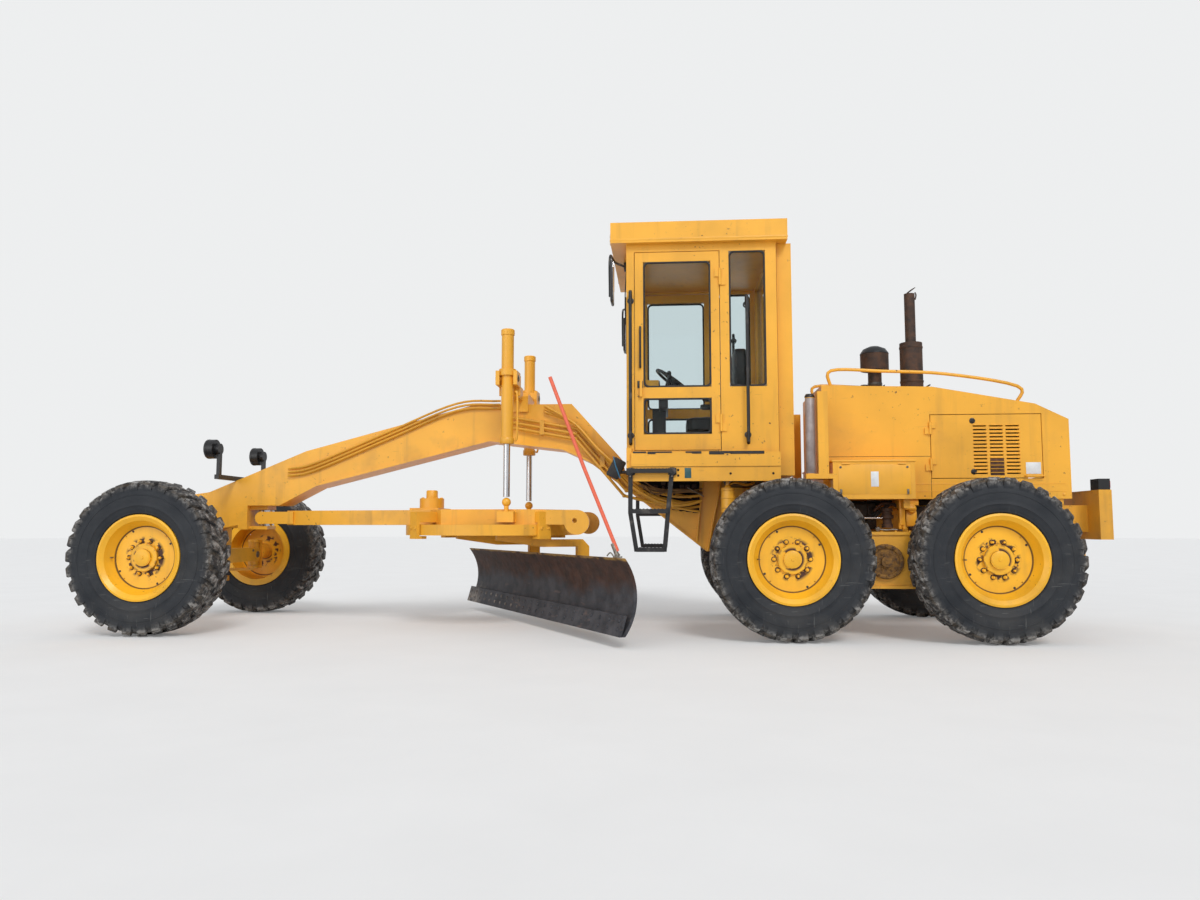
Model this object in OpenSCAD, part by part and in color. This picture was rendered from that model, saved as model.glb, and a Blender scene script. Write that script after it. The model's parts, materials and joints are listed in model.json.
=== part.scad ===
// Motor grader: six wheels, frame hinged behind the cab, blade under a circle and drawbar.
// Sizes in millimetres. Stations along X are counted from the tandem pivot, forward positive;
// Y is to the left, Z up from the ground. from_pivot() shifts them to the model's origin.

/* [Machine] */
// Tandem pivot to front axle
wheelbase = 5920; // [5600:10:6300]
// Rear wheel spacing in a tandem
tandem_pitch = 1524; // [1480:2:1600]
// Distance between the middles of the left and right tyres
track = 2050; // [2000:10:2200]
// Height of the cab roof
overall_h = 3404; // [3300:2:3600]
// Tandem pivot to the rear face
tail_reach = 1850; // [1750:10:2000]
// Front axle to the front face
nose_reach = 680; // [660:10:800]

/* [Wheels] */
// Tyre outer diameter
tyre_d = 1250; // [1200:2:1260]
// Tyre width
tyre_w = 350; // [330:2:360]
// Depth of the tread lugs
lug_h = 28; // [15:1:35]
// Number of lugs on each side
lugs = 26; // [22:1:30]
// Width of a lug
lug_w = 82; // [70:1:90]
// Angle of the lugs across the tread
lug_lean = 14; // [0:1:20]
// Rim bead seat diameter
bead_d = 610; // [590:2:620]
// Rim flange diameter
flange_d = 692; // [670:2:720]
// Wheel disc diameter inside the dish
disc_d = 500; // [470:2:520]
// Wheel disc thickness
disc_t = 16; // [12:1:20]
// Height of the disc face outside the tyre's middle plane
disc_out = 55; // [40:1:70]
// Hub boss diameter
hub_d = 200; // [180:2:220]
// Hub boss height above the disc
hub_h = 45; // [35:1:60]

/* [Rear frame] */
// Height of the tandem case
case_h = 420; // [380:5:440]
// Width of the tandem case
case_w = 220; // [200:5:240]
// Height of the tandem case's middle
case_z = 610; // [600:5:630]
// Distance of the tandem case's outer face from the middle
case_y = 800; // [780:5:810]
// Frame rail spacing, middle to middle
rail_gap = 640; // [600:10:700]
// Frame rail height
rail_h = 220; // [200:5:260]
// Frame rail thickness
rail_t = 60; // [40:5:80]
// Height of the rails' middle
rail_z = 940; // [930:5:960]

/* [Hood] */
// Station of the hood's front face
hood_front = 420; // [400:5:430]
// Station of the hood's rear face
hood_back = -1560; // [-1600:5:-1540]
// Width of the hood
hood_w = 1040; // [1000:10:1080]
// Height of the hood's lower edge
hood_low = 1100; // [1090:5:1120]
// Height of the hood's top at the front
hood_top = 2050; // [1990:10:2100]
// Height of the hood's top at the rear
hood_tail_top = 1880; // [1850:10:1920]
// Panel thickness of the hood and its doors
panel_t = 20; // [12:1:25]
// Width of an engine door
engine_door_w = 880; // [800:10:900]
// Height of an engine door
engine_door_h = 520; // [460:10:540]
// Height of an engine door's lower edge
engine_door_z = 1272; // [1268:2:1290]

/* [Front frame] */
// Station of the articulation pin
hitch_x = 1050; // [1040:5:1060]
// Radius of the articulation pin
hitch_pin_r = 45; // [40:1:50]
// Height of the lower end of the hitch barrel
hitch_low = 660; // [655:5:680]
// Height of the upper end of the hitch barrel
hitch_high = 1215; // [1200:5:1220]
// Width of the gooseneck box
neck_w = 300; // [280:10:320]
// Extra width of its top and bottom plates on each side
neck_lip = 18; // [10:1:25]
// Height of the gooseneck's level top
neck_peak = 1970; // [1950:5:1980]
// Height of the lift arms' pivots
lift_z = 2130; // [2100:10:2200]
// Station of the lift arms
lift_x = 3060; // [3040:10:3100]
// Distance of the lift cylinders from the middle
lift_y = 600; // [580:5:620]

/* [Cab] */
// Station of the cab's rear wall
cab_back = 800; // [790:5:820]
// Station of the cab's front wall
cab_front = 2040; // [2000:5:2060]
// Width of the platform under the cab
sill_w = 1600; // [1580:5:1610]
// Height of the platform's lower edge
sill_low = 1240; // [1235:5:1250]
// Height of the seam between the two strips of its side
sill_seam = 1360; // [1350:5:1370]
// Height of the platform's upper edge
sill_high = 1475; // [1465:5:1490]
// Width of the cab's walls
cab_w = 1440; // [1400:10:1480]
// Wall thickness of the cab
cab_t = 50; // [40:2:60]
// Thickness of the cab's roof
roof_t = 174; // [150:2:190]
// Height of the waist line between the lower and upper windows
waist_z = 2020; // [1980:10:2060]
// Width of a cab door
door_w = 700; // [660:10:720]
// Width of the roll-over posts
rops_w = 120; // [110:5:130]

/* [Front axle] */
// Height of the axle's lean pivots
lean_z = 600; // [595:5:605]
// Distance of the lean pivots from the middle
lean_y = 700; // [690:5:705]
// Distance of the kingpins from the middle
king_y = 800; // [795:5:805]
// Radius of the kingpins
king_r = 24; // [20:1:28]
// Radius of the lean pivots
lean_r = 28; // [24:1:32]

/* [Drawbar and circle] */
// Station of the circle's middle
circle_x = 3300; // [3290:5:3320]
// Circle diameter
circle_d = 1530; // [1500:10:1560]
// Height of the circle's underside
circle_z = 800; // [795:5:810]
// Thickness of the circle
circle_t = 90; // [80:2:95]
// Angle of the blade as parked
circle_turn = 30; // [26:1:32]
// Distance of the drawbar's front ball behind the front axle
ball_back = 500; // [490:5:520]
// Height of the drawbar's front ball
ball_z = 955; // [950:5:960]
// Drawbar plate thickness
drawbar_t = 130; // [120:2:140]

/* [Blade] */
// Blade length
blade_l = 3660; // [3600:10:3700]
// Blade height over its chord
blade_h = 560; // [540:5:565]
// Blade plate thickness
blade_t = 24; // [20:1:26]
// Radius of the blade's curve
blade_r = 430; // [420:5:450]
// Height of the cutting edge above the ground
blade_z = 85; // [80:5:95]
// Distance of the blade's chord behind the circle's middle
blade_back = 300; // [290:5:310]
// Depth of the cutting edge
edge_h = 150; // [140:5:160]

/* [Clearances] */
// Gap between round faces that turn on each other
turn_gap = 0.05; // [0.02:0.01:0.1]
// Gap between flat or round faces that lie close
seat_gap = 0.3; // [0.2:0.05:0.5]
// Gap round a moving panel
panel_gap = 6; // [5:1:10]

/* [Hidden] */

YELLOW = [0.90, 0.62, 0.15];
BLACK = [0.10, 0.10, 0.11];
RUBBER = [0.17, 0.17, 0.18];
STEEL = [0.62, 0.62, 0.64];
RUST = [0.30, 0.19, 0.16];
GLASS = [0.55, 0.65, 0.68, 0.4];

mid_x = (wheelbase + nose_reach - tail_reach) / 2;
wheel_r = tyre_d / 2;
hub_face = disc_out - disc_t;
bead_half = 152;
case_low = case_z - case_h / 2;
case_high = case_z + case_h / 2;
ball_x = wheelbase - ball_back;
neck_end = wheelbase - 20;
rail_low = rail_z - rail_h / 2;
rail_high = rail_z + rail_h / 2;

// Puts a shape built on stations into the model's frame
module from_pivot() translate([-mid_x, 0, 0]) children();

// A box from one corner to the opposite one
module block(low, high) translate(low) cube(high - low);

// The same box on the left and on the right
module both_sides() {
    children();
    mirror([0, 1, 0]) children();
}

// A shape drawn on one side: 1 is left, -1 is right
module on_side(side) scale([1, side, 1]) children();

// A round bar between two points
module bar(a, b, r) {
    run = b - a;
    flat = norm([run.x, run.y]);
    translate(a) rotate([0, atan2(flat, run.z), atan2(run.y, run.x)])
        cylinder(h = norm(run), r = r, $fn = 24);
}

// A line of round bars with a ball at each bend
module pipe(points, r) {
    for (i = [0 : len(points) - 2]) bar(points[i], points[i + 1], r);
    for (i = [1 : len(points) - 2]) translate(points[i]) sphere(r = r * 1.3, $fn = 24);
}

// A plate drawn in X and Z, standing between two values of Y
module side_plate(y0, y1) translate([0, y1, 0]) rotate([90, 0, 0])
    linear_extrude(y1 - y0) children();

// Wheel frame: local Z is the axle, pointing away from the machine
module wheel_at(station, side) from_pivot() translate([station, side * track / 2, wheel_r])
    rotate([-90 * side, 0, 0]) children();

// Hinge knuckle standing on a face at y: its leaf reaches along X to one side, over a gap
module knuckle(x, y, z, h, toward, gap) {
    translate([x, y + knuckle_r, z]) cylinder(h = h, r = knuckle_r, $fn = 24);
    for (piece = [[gap, 45, -1], [0, gap + 1, 2]]) {
        ends = [x + toward * piece[0], x + toward * piece[1]];
        block([min(ends), y + piece[2], z], [max(ends), y + knuckle_r, z + h]);
    }
}
knuckle_r = 12;

/* Wheels */

// Tyre section: half width at each radius
tyre_steps = [
    [flange_d / 2 + 4, 0.47], [wheel_r - 165, 0.5], [wheel_r - 95, 0.49],
    [wheel_r - 50, 0.455], [wheel_r - lug_h, 0.40]
];

// Foot and shoulder of a bead against the rim's flange, on the outer or the inner side
function bead(s) = [bead_d / 2, s * (bead_half - 14 - seat_gap)];
function bead_top(s) = [flange_d / 2 + seat_gap, s * (bead_half - 12 - seat_gap)];

module tyre(station, side) color(RUBBER) wheel_at(station, side) {
    upper = [for (s = tyre_steps) [s[0], s[1] * tyre_w]];
    lower = [for (i = [len(tyre_steps) - 1 : -1 : 0]) [upper[i][0], -upper[i][1]]];
    rotate_extrude($fn = 72) polygon(concat(
        [bead(1), bead_top(1)], upper, lower, [bead_top(-1), bead(-1)]
    ));
    tread();
}

// Bar lugs from the middle of the tread over each shoulder, staggered from side to side
module tread() for (side = [-1, 1], i = [0 : lugs - 1])
    rotate((i + side / 4) * 360 / lugs) translate([0, 0, side * tyre_w * 0.24]) rotate([side * lug_lean, 0, 0])
        block([wheel_r - lug_h - 32, -lug_w / 2, -tyre_w * 0.215], [lug_tip, lug_w / 2, tyre_w * 0.215]);
lug_tip = sqrt(wheel_r * wheel_r - lug_w * lug_w / 4);

module rim(station, side) color(YELLOW) wheel_at(station, side) {
    rotate_extrude($fn = 72) polygon([
        [bead_d / 2 - 20, -bead_half], [flange_d / 2, -bead_half],
        [flange_d / 2, -bead_half + 12], [bead_d / 2 - seat_gap, -bead_half + 14],
        [bead_d / 2 - seat_gap, bead_half - 14], [flange_d / 2, bead_half - 12],
        [flange_d / 2, bead_half + 6], [flange_d / 2 - 16, bead_half + 10],
        [bead_d / 2 - 8, bead_half - 12], [bead_d / 2 - 22, bead_half - 40],
        [disc_d / 2, disc_out], [disc_d / 2, hub_face], [bead_d / 2 - 30, hub_face]
    ]);
    difference() {
        translate([0, 0, hub_face]) cylinder(h = disc_t, r = disc_d / 2 + 1, $fn = 72);
        for (a = [45 : 90 : 315]) rotate(a) translate([disc_d / 2 - 12, 0, hub_face - 1])
            cylinder(h = disc_t + 2, r = 5, $fn = 16);
    }
    translate([0, 0, disc_out - 1]) cylinder(h = hub_h * 0.45 + 1, r = hub_d / 2, $fn = 48);
    translate([0, 0, disc_out]) cylinder(h = hub_h, r = hub_d * 0.34, $fn = 48);
    for (i = [0 : 9]) rotate(i * 36) translate([137, 0, disc_out - 1])
        cylinder(h = 22, r = 15, $fn = 6);
}

/* Rear body */

module tandem(side) color(YELLOW) from_pivot() on_side(side) {
    reach = tandem_pitch / 2;
    side_plate(case_y - case_w, case_y) {
        translate([-reach, case_low]) square([2 * reach, case_h]);
        for (s = [-1, 1]) translate([s * reach, case_z]) circle(r = case_h / 2, $fn = 64);
    }
    for (z = [case_low - 12, case_high - 12]) block(
        [-reach + 40, case_y - case_w - 14, z], [reach - 40, case_y + 14, z + 24]
    );
    translate([0, case_y - 1, case_z - 10]) rotate([-90, 0, 0]) {
        cylinder(h = 31, r = 135, $fn = 48);
        cylinder(h = 55, r = 42, $fn = 32);
    }
    for (s = [-1, 1]) translate([s * reach, case_y - 1, wheel_r]) rotate([-90, 0, 0]) {
        cylinder(h = track / 2 + hub_face - case_y + 1 - seat_gap, r = 95, $fn = 48);
        cylinder(h = 40, r = 190, $fn = 48);
    }
}

module rear_frame() color(YELLOW) from_pivot() {
    rail_y = rail_gap / 2;
    ear_back = hitch_x - 330;
    both_sides() block(
        [-tail_reach + 90, rail_y - rail_t / 2, rail_low],
        [ear_back + 20, rail_y + rail_t / 2, rail_high]
    );
    // Cross members and the tail plate with its tow eye
    for (x = [-1450, -700]) block([x, -rail_y, rail_low + 20], [x + 120, rail_y, rail_high - 20]);
    difference() {
        union() {
            block([-tail_reach, -560, rail_low - 60], [-tail_reach + 100, 560, rail_high + 120]);
            block([-tail_reach + 1, -60, rail_low - 220], [-tail_reach + 99, 60, rail_low]);
        }
        translate([-tail_reach + 50, 0, rail_low - 140]) rotate([90, 0, 0])
            cylinder(h = 200, r = tow_r, center = true, $fn = 40);
    }
    // Hitch ears above and below the front frame's barrel, with the pin between them
    block([ear_back - 80, -rail_y - rail_t / 2, hitch_low - 40], [ear_back, rail_y + rail_t / 2, hitch_high + 45]);
    for (z = [hitch_low - 41, hitch_high + 5]) translate([0, 0, z]) {
        block([ear_back - 1, -120, 0], [hitch_x, 120, 36]);
        translate([hitch_x, 0, 0]) cylinder(h = 36, r = 120, $fn = 48);
    }
    translate([hitch_x, 0, hitch_low - 40])
        cylinder(h = hitch_high - hitch_low + 60, r = hitch_pin_r, $fn = 48);
    both_sides() difference() {
        side_plate(rail_y - 30, rail_y) polygon([
            [ear_back - 79, hitch_low - 39], [ear_back - 79, rail_low + 1], [150, rail_low + 1],
            [150, rail_low - 40], [ear_back - 260, hitch_low - 39]
        ]);
    }
}
tow_r = 26;

// Axle housing between the tandem cases, with its gearbox in the middle and its saddles under the rails
module rear_axle() color(YELLOW) from_pivot() {
    rail_y = rail_gap / 2;
    translate([0, case_y - case_w - seat_gap, case_z]) rotate([90, 0, 0])
        cylinder(h = 2 * (case_y - case_w - seat_gap), r = 170, $fn = 48);
    block([-260, -260, case_z - 190], [260, 260, rail_low + 30]);
    both_sides() block([-200, rail_y - 80, case_z + 60], [140, rail_y + 80, rail_low - seat_gap]);
}

// Battery and tool box on the left, tank box on the right, each with the step and post before it
module side_boxes() color(YELLOW) from_pivot() {
    box_out = sill_w / 2;
    rail_out = rail_gap / 2 + rail_t / 2 + seat_gap;
    both_sides() {
        block([-250, hood_w / 2 + seat_gap, box_low], [box_front, box_out, box_high]);
        for (x = [-220, box_front - 60]) block([x, rail_out, rail_high - 30], [x + 50, box_out - 60, box_low + 1]);
        block([box_front - 1, box_out - 160, step_z], [500, box_out, step_z + 40]);
        block([420, box_out - 110, step_z + 39], [500, box_out, hood_top - 90]);
        block([499, box_out - 85, step_z], [600, box_out, step_z + 40]);
    }
    translate([556, box_out - 42, step_z + 39]) cylinder(h = 620, r = 36, $fn = 40);
}
box_low = 1092;
box_high = 1390;
box_front = 390;
step_z = 1255;

engine_top = 1700;

module power_unit() color([0.35, 0.33, 0.30]) from_pivot() {
    block([-1250, -260, rail_high + 1], [-100, 260, engine_top]);
    block([-101, -240, rail_low + 40], [560, 240, hood_low - 10]);
    both_sides() block([-1000, 259, rail_high - 20], [-900, rail_gap / 2 - rail_t / 2, rail_high + 60]);
    both_sides() block([100, 239, rail_low + 60], [200, rail_gap / 2 - rail_t / 2, rail_high - 20]);
    both_sides() block([-400, 259, rail_high - 20], [-300, rail_gap / 2 - rail_t / 2, rail_high + 60]);
}

hood_side = [
    [hood_back, hood_low], [hood_front, hood_low], [hood_front, hood_top],
    [hood_front - 900, hood_top - 20], [hood_back + 260, hood_tail_top], [hood_back, hood_tail_top - 130]
];
engine_door_x = -460;
door_back = engine_door_x - engine_door_w;
engine_hinges = [engine_door_z + 60, engine_door_z + engine_door_h - 160];

module hood() color(YELLOW) from_pivot() {
    half = hood_w / 2;
    difference() {
        side_plate(-half, half) polygon(hood_side);
        side_plate(-half + panel_t, half - panel_t) polygon([
            [hood_back + 40, hood_low - 1], [hood_front - panel_t, hood_low - 1],
            [hood_front - panel_t, hood_top - panel_t], [hood_front - 900, hood_top - 20 - panel_t],
            [hood_back + 275, hood_tail_top - panel_t - 4], [hood_back + 40, hood_tail_top - 150]
        ]);
        both_sides() block(
            [door_back - panel_gap, half - panel_t - 1, engine_door_z - panel_gap],
            [engine_door_x + panel_gap, half + 1, engine_door_z + engine_door_h + panel_gap]
        );
        block([hood_back - 1, -half + 90, hood_low + 60], [hood_back + 60, half - 90, hood_tail_top - 220]);
        // Holes for the exhaust and the air intake
        translate([stack_at.x, stack_at.y, hood_top - 200]) cylinder(h = 300, r = muffler_r + seat_gap, $fn = 48);
        translate([cleaner_at.x, cleaner_at.y, hood_top - 200]) cylinder(h = 300, r = cleaner_r + seat_gap, $fn = 32);
    }
    both_sides() block([-350, rail_gap / 2 - 30, rail_high + seat_gap], [-250, half - panel_t + 1, hood_low + 30]);
    both_sides() block([hood_back + 60, rail_gap / 2 - 30, rail_high + seat_gap], [hood_back + 160, half - panel_t + 1, hood_low + 30]);
    // Hinge knuckles of the side doors
    both_sides() for (z = engine_hinges)
        knuckle(engine_door_x + panel_gap, half, z, 50, 1, 0);
}

module rear_grille() color(BLACK) from_pivot() {
    half = hood_w / 2 - 90 - seat_gap;
    low = hood_low + 60 + seat_gap;
    high = hood_tail_top - 220 - seat_gap;
    difference() {
        block([hood_back - 20, -half, low], [hood_back + 39, half, high]);
        block([hood_back - 21, -half + 30, low + 30], [hood_back + 40, half - 30, high - 30]);
    }
    for (i = [1 : 11]) block(
        [hood_back - 5, -half + 29, low + 30 + i * (high - low - 60) / 12 - 6],
        [hood_back + 25, half - 29, low + 30 + i * (high - low - 60) / 12 + 6]
    );
}

module engine_door(side) color(YELLOW) from_pivot() on_side(side) {
    half = hood_w / 2;
    difference() {
        block([door_back, half - panel_t, engine_door_z], [engine_door_x, half, engine_door_z + engine_door_h]);
        // Columns of louvre slots
        for (column = [0 : 2], row = [0 : louvre_rows - 1]) translate([
            door_back + 175 + column * 130, half - panel_t - 1, engine_door_z + 30 + row * louvre_step
        ]) cube([105, panel_t + 2, 14]);
    }
    for (z = engine_hinges)
        knuckle(engine_door_x + panel_gap, half, z + 50 + seat_gap, 50, -1, panel_gap);
}
louvre_rows = 14;
louvre_step = 30;

module exhaust() color(BLACK) from_pivot() {
    // Muffler and stack on the left half, air cleaner on the right half, both off the engine
    translate([stack_at.x, stack_at.y, engine_top + seat_gap]) {
        cylinder(h = hood_top + 860 - engine_top, r = 45, $fn = 32);
        translate([0, 0, hood_top - 80 - engine_top]) cylinder(h = 500, r = muffler_r, $fn = 48);
    }
    translate([cleaner_at.x, cleaner_at.y, engine_top + seat_gap]) {
        cylinder(h = hood_top + 240 - engine_top, r = cleaner_r, $fn = 32);
        translate([0, 0, hood_top + 239 - engine_top]) cylinder(h = 150, r = 125, $fn = 48);
    }
}
stack_at = [-420, 150];
muffler_r = 95;
cleaner_at = [-180, -180];
cleaner_r = 60;

/* Front body */

// Side outline of the gooseneck, under edge first
neck_side = [
    [hitch_x, hitch_low + 1], [1370, hitch_low], [1930, 1100], [2400, 1450], [2640, 1560],
    [3300, 1640], [4900, 1240], [wheelbase - 360, 900], [wheelbase - 140, 860], [wheelbase + nose_reach - 60, 860],
    [wheelbase + nose_reach - 60, 1100], [neck_end, 1190], [5000, 1560], [3450, neck_peak],
    [2560, neck_peak], [2120, 1480], [2070, 1280], [1225, 1280], [1200, hitch_high - 1],
    [hitch_x, hitch_high - 1]
];

// Height of the gooseneck's top on its front slope
function neck_top(x) = 1560 - (x - 5000) * (1560 - 1190) / (neck_end - 5000);

module front_frame() color(YELLOW) from_pivot() {
    half = neck_w / 2;
    nose = wheelbase + nose_reach;
    difference() {
        union() {
            side_plate(-half, half) polygon(neck_side);
            neck_lips();
            translate([hitch_x, 0, hitch_low]) cylinder(h = hitch_high - hitch_low, r = 105, $fn = 48);
        }
        // Room for the drawbar's swivel and its bracket under the nose
        block([ball_x - 260, -half - 40, 700], [ball_x + bracket_l, half + 40, ball_z + bracket_top]);
        translate([hitch_x, 0, hitch_low - 1])
            cylinder(h = hitch_high - hitch_low + 2, r = hitch_pin_r + turn_gap, $fn = 48);
    }
    // Upright strut beside the hitch and outriggers under the platform
    both_sides() side_plate(half - 1, half + 30) polygon([
        [1240, 1279], [1400, 1279], [1460, 740], [1365, hitch_low + 2]
    ]);
    for (x = [1240, 1850]) block([x, -700, 1279], [x + 110, 700, sill_seam - seat_gap]);
    // Push plate and its bolt holes
    difference() {
        block([nose - 61, -340, 620], [nose, 340, 1040]);
        for (y = [-plate_bolt_y, plate_bolt_y], z = [700, 960]) translate([nose - 62, y, z]) rotate([0, 90, 0])
            cylinder(h = 64, r = plate_bolt_r, $fn = 32);
    }
}
plate_bolt_r = 14;
plate_bolt_y = 260;

// Narrow flange plates that follow the gooseneck's edges
module neck_lips() {
    half = neck_w / 2 + neck_lip;
    edge = [[1370, hitch_low - 2], [1930, 1098], [2400, 1448], [2640, 1558], [3300, 1638], [4900, 1238]];
    side_plate(-half, half) polygon(concat(edge, [for (i = [5 : -1 : 0]) edge[i] + [0, 20]]));
}

// Saddle over the gooseneck with an arm to each lift cylinder
module lift_saddle() color(YELLOW) from_pivot() {
    wall = lift_y - 110;
    out = neck_w / 2 + 30;
    block([lift_x - 110, -out, neck_peak + seat_gap], [lift_x + 110, out, neck_peak + 70]);
    both_sides() {
        block([lift_x - 110, neck_w / 2 + seat_gap, neck_peak - 70], [lift_x + 110, out, neck_peak + 1]);
        block([lift_x - 60, neck_w / 2 - 1, lift_z - 130], [lift_x + 60, wall - 29, lift_z - 20]);
        block([lift_x - 92, wall - 30, lift_z - 130], [lift_x + 92, wall, lift_z + 40]);
        for (x = [-92, 60]) difference() {
            block([lift_x + x, wall - 1, lift_z - 60], [lift_x + x + 32, lift_y + 60, lift_z + 60]);
            translate([lift_x + x - 1, lift_y, lift_z]) rotate([0, 90, 0])
                cylinder(h = 34, r = 20 + turn_gap, $fn = 40);
        }
    }
}

// Bracket in the nose that holds the drawbar's swivel between two plates
module swivel_bracket() color(YELLOW) from_pivot() translate([ball_x, 0, ball_z]) difference() {
    half = neck_w / 2;
    union() {
        block([-48, -90, -swivel_top], [130, 90, -swivel_top + 30]);
        block([-48, -90, swivel_top - 30], [130, 90, bracket_top - seat_gap]);
        block([115, -half, -swivel_top], [bracket_l - seat_gap, half, bracket_top - seat_gap]);
    }
    cylinder(h = 2 * swivel_top + 20, r = 30 + turn_gap, center = true, $fn = 40);
}
// Length of the bracket in front of the swivel, and its top above the swivel's middle
bracket_l = 200;
bracket_top = 112;

module cab() color(YELLOW) from_pivot() {
    half = sill_w / 2;
    wall = cab_w / 2;
    difference() {
        union() {
            // Platform: side strips, floor and cross strips
            both_sides() {
                block([cab_back, half - 14, sill_low], [cab_front - 40, half, sill_seam]);
                block([cab_back, half - 24, sill_seam - 1], [cab_front - 40, half + 10, sill_high]);
            }
            block([cab_back, -half + 10, sill_seam], [cab_front - 40, half - 10, sill_seam + 40]);
            // Walls
            difference() {
                block([cab_back, -wall, sill_seam + 39], [cab_front, wall, roof_low + 1]);
                block([cab_back + cab_t, -wall + cab_t, sill_seam + 38], [cab_front - cab_t, wall - cab_t, roof_low - 40]);
            }
        }
        cab_windows();
    }
    block([cab_back - 90, -wall - 60, roof_low], [cab_front + 130, wall + 60, overall_h]);
    // Hinge knuckles of the doors
    both_sides() for (z = cab_hinges) knuckle(door_back_x - panel_gap, wall, z, 70, -1, 0);
    // Front corner posts carried down to the platform
    both_sides() block([cab_front - 41, wall - cab_t, sill_seam - 30], [cab_front, half - 20, sill_high + 40]);
    dash();
}
roof_low = overall_h - roof_t;
door_back_x = cab_front - 70 - door_w;
door_low = sill_high + 25;
door_high = roof_low - 70;
cab_hinges = [door_low + 150, door_high - 290];

// Openings of the walls: doors at the sides, panes in front, behind and beside the doors
module cab_windows() {
    wall = cab_w / 2;
    both_sides() {
        block(
            [door_back_x - panel_gap, wall - cab_t - 1, door_low - panel_gap],
            [door_back_x + door_w + panel_gap, wall + 1, door_high + panel_gap]
        );
        block([cab_back + 90, wall - cab_t - 1, waist_z], [door_back_x - 80, wall + 1, door_high]);
        block([cab_front - cab_t - 1, neck_w / 2 + 40, sill_high + 165], [cab_front + 1, wall - 90, waist_z + 60]);
    }
    block([cab_front - cab_t - 1, -wall + 90, waist_z + 140], [cab_front + 1, wall - 90, door_high]);
    block([cab_back - 1, -wall + 110, waist_z + 100], [cab_back + cab_t + 1, wall - 110, door_high]);
}

// Dash shelf across the cab's front, inside
module dash() block([cab_front - 260, -300, waist_z + 60], [cab_front - cab_t + 1, 300, waist_z + 130]);

module cab_glass() color(GLASS) from_pivot() {
    wall = cab_w / 2;
    mid = cab_t / 2;
    g = seat_gap;
    both_sides() {
        block([cab_back + 90 + g, wall - mid - 3, waist_z + g], [door_back_x - 80 - g, wall - mid + 3, door_high - g]);
        block(
            [cab_front - mid - 3, neck_w / 2 + 40 + g, sill_high + 165 + g],
            [cab_front - mid + 3, wall - 90 - g, waist_z + 60 - g]
        );
    }
    block([cab_front - mid - 3, -wall + 90 + g, waist_z + 140 + g], [cab_front - mid + 3, wall - 90 - g, door_high - g]);
    block([cab_back + mid - 3, -wall + 110 + g, waist_z + 100 + g], [cab_back + mid + 3, wall - 110 - g, door_high - g]);
}

module rops_posts() color(YELLOW) from_pivot() {
    out = 660;
    both_sides() block([cab_back - 10 - rops_w, out - rops_w, 1290], [cab_back - 10, out, roof_low - seat_gap]);
    block([cab_back - 10 - rops_w, -out + 1, 1290], [cab_back - 10, out - 1, 1290 + rops_w]);
    for (y = [-560, 460]) block([cab_back - 11, y, sill_seam - 60], [cab_back + 60, y + 100, sill_seam - seat_gap]);
}

module cab_door(side) color(YELLOW) from_pivot() on_side(side) {
    wall = cab_w / 2;
    difference() {
        block([door_back_x, wall - cab_t, door_low], [door_back_x + door_w, wall, door_high]);
        block([door_back_x + 70, wall - cab_t - 1, waist_z], [door_back_x + door_w - 70, wall + 1, door_high - 80]);
        block([door_back_x + 70, wall - cab_t - 1, door_low + 130], [door_back_x + door_w - 70, wall + 1, waist_z - 90]);
    }
    block([door_back_x + door_w - 60, wall - 1, waist_z - 80], [door_back_x + door_w - 40, wall + 34, waist_z + 60]);
    for (z = cab_hinges)
        knuckle(door_back_x - panel_gap, wall, z + 70 + seat_gap, 70, 1, panel_gap);
}

module door_glass(side) color(GLASS) from_pivot() on_side(side) {
    mid = cab_w / 2 - cab_t / 2;
    g = seat_gap;
    block([door_back_x + 70 + g, mid - 3, waist_z + g], [door_back_x + door_w - 70 - g, mid + 3, door_high - 80 - g]);
    block([door_back_x + 70 + g, mid - 3, door_low + 130 + g], [door_back_x + door_w - 70 - g, mid + 3, waist_z - 90 - g]);
}

module seat() color(BLACK) from_pivot() {
    floor_z = sill_seam + 40;
    block([1130, -150, floor_z + seat_gap], [1430, 150, floor_z + 300]);
    block([1060, -250, floor_z + 299], [1540, 250, floor_z + 430]);
    block([1000, -240, floor_z + 380], [1110, 240, floor_z + 1050]);
    both_sides() block([1080, 251, floor_z + 560], [1400, 300, floor_z + 610]);
    both_sides() block([1080, 239, floor_z + 500], [1110, 252, floor_z + 610]);
}

module console() color(BLACK) from_pivot() {
    floor_z = sill_seam + 40;
    block([1720, -90, floor_z + seat_gap], [1840, 90, floor_z + 520]);
    block([1700, -330, floor_z + 500], [1780, 330, floor_z + 620]);
    // Lever rows and the steering wheel
    for (i = [-6 : 6]) if (abs(i) > 2) bar([1740, i * 45, floor_z + 619], [1690, i * 45, floor_z + 800], 8);
    bar([1760, 0, floor_z + 600], [1640, 0, floor_z + 760], 24);
    translate([1635, 0, floor_z + 766]) rotate([0, -37, 0]) {
        rotate_extrude($fn = 48) translate([200, 0]) circle(r = 14, $fn = 16);
        for (a = [0 : 120 : 240]) rotate(a + 30) bar([0, 0, 0], [200, 0, 0], 9);
        cylinder(h = 30, r = 40, center = true, $fn = 32);
    }
}

// Outline of a stile: top station, middle station and foot station
stiles = [[2005, 2008, 1958], [1668, 1705, 1735]];
step_heights = [672, 980, 1305];

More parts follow.
